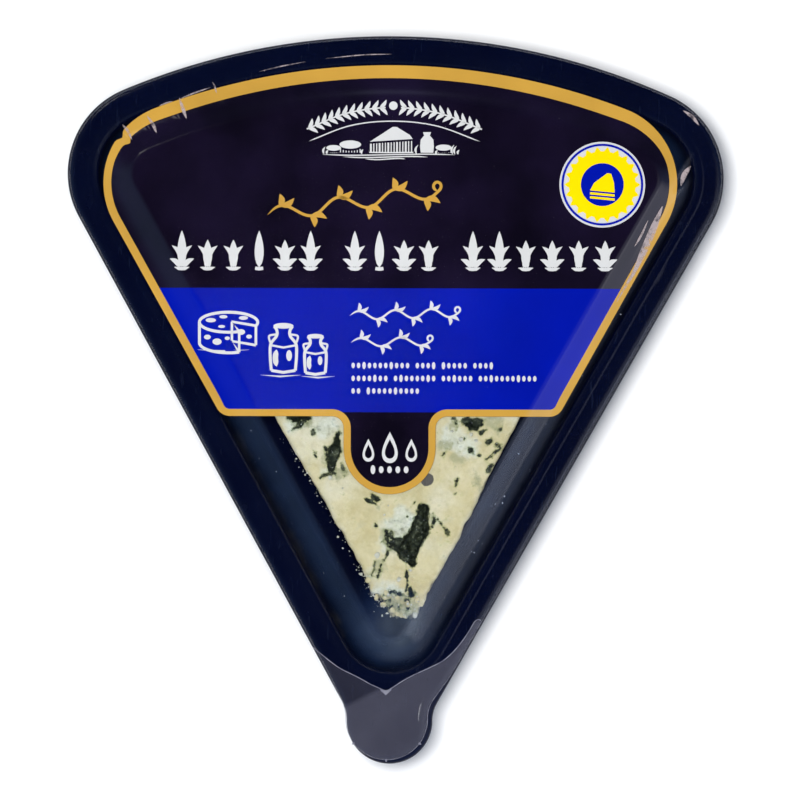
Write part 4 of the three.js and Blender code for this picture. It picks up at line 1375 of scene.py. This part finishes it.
# Crumbs and drops: small lumps just under the film. Each is a ball of few faces, stretched and dented at
# random.
scatter = {
    "crumbs": [
        (-12.3, 27.9, 0.45), (-10.1, 26.1, 0.2), (-2.2, 22.9, 0.2), (-2.9, 21.3, 0.2), (-4.3, 14.2, 0.5),
        (-0.6, 9.9, 0.4), (1.4, 11.5, 0.35), (2.1, 3.6, 0.6), (-11.1, 17.6, 0.22), (-10.3, 15.6, 0.15),
        (-7.6, 12.2, 0.2), (-7.2, 11.0, 0.28), (-16.6, 28.6, 0.16), (-15.8, 27.5, 0.14), (12.6, 35.0, 0.3),
        (10.8, 34.2, 0.35), (9.2, 35.6, 0.3), (13.4, 33.9, 0.25), (8.3, 36.2, 0.3),
    ],
    "lumps": [
        (-5.2, 8.6, 0.9), (-4.6, 6.9, 0.75), (-3.4, 5.6, 0.9), (-1.9, 4.6, 0.8), (-0.3, 4.1, 0.9),
        (0.9, 5.6, 0.7), (-2.9, 7.6, 0.7), (2.5, 6.2, 0.7), (-5.9, 9.9, 0.7), (-1.0, 6.7, 0.6),
        (3.0, 7.6, 0.6),
    ],
    "alongEdge": 110,
    "onWall": 46,
}


# Small balls of 23 points, in three rings and two ends, each dented and stretched at random.
def lumpMesh(name, places, sizes, heights, material, slot, flatness=0.6):
    random = np.random.default_rng(7)
    around = np.linspace(0, 2 * math.pi, 7, endpoint=False)
    rings = [(0.62, 0.75), (1.0, 0.1), (0.66, -0.6)]
    ball = [[c * math.cos(a), c * math.sin(a), s] for c, s in rings for a in around]
    ball += [[0, 0, 1], [0, 0, -1]]
    faces = gridFaces(3, 7, True) + [[21, i, (i + 1) % 7] for i in range(7)]
    faces += [[22, 14 + (i + 1) % 7, 14 + i] for i in range(7)]
    points = np.array(ball)[None] * (1 + 0.45 * (random.random((len(places), 23, 1)) - 0.5))
    stretch = 0.65 + 0.7 * random.random((len(places), 1, 3))
    points = points * stretch * [1, 1, flatness] * np.array(sizes)[:, None, None]
    points += np.column_stack([places, heights])[:, None]
    every = [[23 * k + i for i in face] for k in range(len(places)) for face in faces]
    return addMesh(name, points.reshape(-1, 3), every, material, slot)


def makeCrumbMaterial():
    paint = newPaint("cheeseCrumb")
    tone = paint.ramp(paint.noise(1.2, detail=3), [(0.35, (0.4, 0.41, 0.32)), (0.6, (0.7, 0.7, 0.6))])
    return paint.finish("BsdfPrincipled", {
        "Base Color": tone, "Roughness": 0.5, "Normal": paint.bump(paint.noise(0.4, detail=3), 0.4, 0.1),
        "Subsurface Weight": 0.3, "Subsurface Scale": 0.001, "Subsurface Radius": (1.0, 0.9, 0.6)})


def makeDropMaterial():
    paint = newPaint("wheyDrop")
    tone = paint.ramp(paint.noise(0.9), [(0.4, (0.3, 0.34, 0.4)), (0.6, (0.6, 0.62, 0.66))])
    return paint.finish("BsdfPrincipled", {"Base Color": tone, "Roughness": 0.12})


# Where lumps given in the cheese's plan lie in the frame.
def lumpPlaces(lumps):
    return turnPlan(lumps, cheese["turn"], (cheese["tipShift"], wedgeTipY))


# How high a lump under the film may reach at each place.
def underFilm(places, gap):
    return coverHeight(places[:, 0], places[:, 1]) - film["thickness"] - gap


# Listed crumbs, loose ones along the cut edges and round the tip, broken curd, and drops of whey on both
# slopes.
def makeScatter():
    random = np.random.default_rng(11)
    count = scatter["alongEdge"]
    far = 5 + 30 * random.random(count) ** 1.3
    gap = 0.1 + 1.3 * random.random(count) ** 2
    lean = -math.tan(half) * far - gap - 0.9 * np.exp(-(((far - 7.8) / 2.6) ** 2))
    loose = np.column_stack([lean, far, 0.05 + 0.12 * random.random(count) ** 3])
    across, ahead = random.uniform(-5.5, 3, 16), random.uniform(3.4, 8.5, 16)
    tip = np.column_stack([across, ahead, 0.1 + 0.2 * random.random(16)])
    lumps = np.vstack([scatter["crumbs"], loose, tip])
    places, size = lumpPlaces(lumps), lumps[:, 2]
    heights = underFilm(places, 0.03) - 0.55 * size
    lumpMesh("cheeseCrumbs", places, size, heights, makeCrumbMaterial(), "cheese", flatness=0.45)
    lumps = np.array(scatter["lumps"])
    heights = cheeseHigh[2] - 0.75 * lumps[:, 2]
    made = lumpMesh("brokenCurd", lumpPlaces(lumps), lumps[:, 2], heights, cheeseMaterial, "cheese")
    finer = made.modifiers.new("finer", "SUBSURF")
    finer.levels = finer.render_levels = 2
    count = scatter["onWall"]
    far = 8 + 78 * random.random(count)
    side = np.where(random.random(count) < 0.55, 1, -1)
    offset = sideOffset - 5.9 - 3.5 * random.random(count)
    places = far[:, None] * along + offset[:, None] * outward
    places = places * np.column_stack([side, np.ones(count)]) + [0, wedgeTipY]
    size = 0.05 + 0.1 * random.random(count) ** 2
    heights = underFilm(places, 0.02) - size
    lumpMesh("wheyDrops", places, size, heights, makeDropMaterial(), "clear_film", flatness=0.5)


makeScatter()
print("cheese: crumbs and drops made")
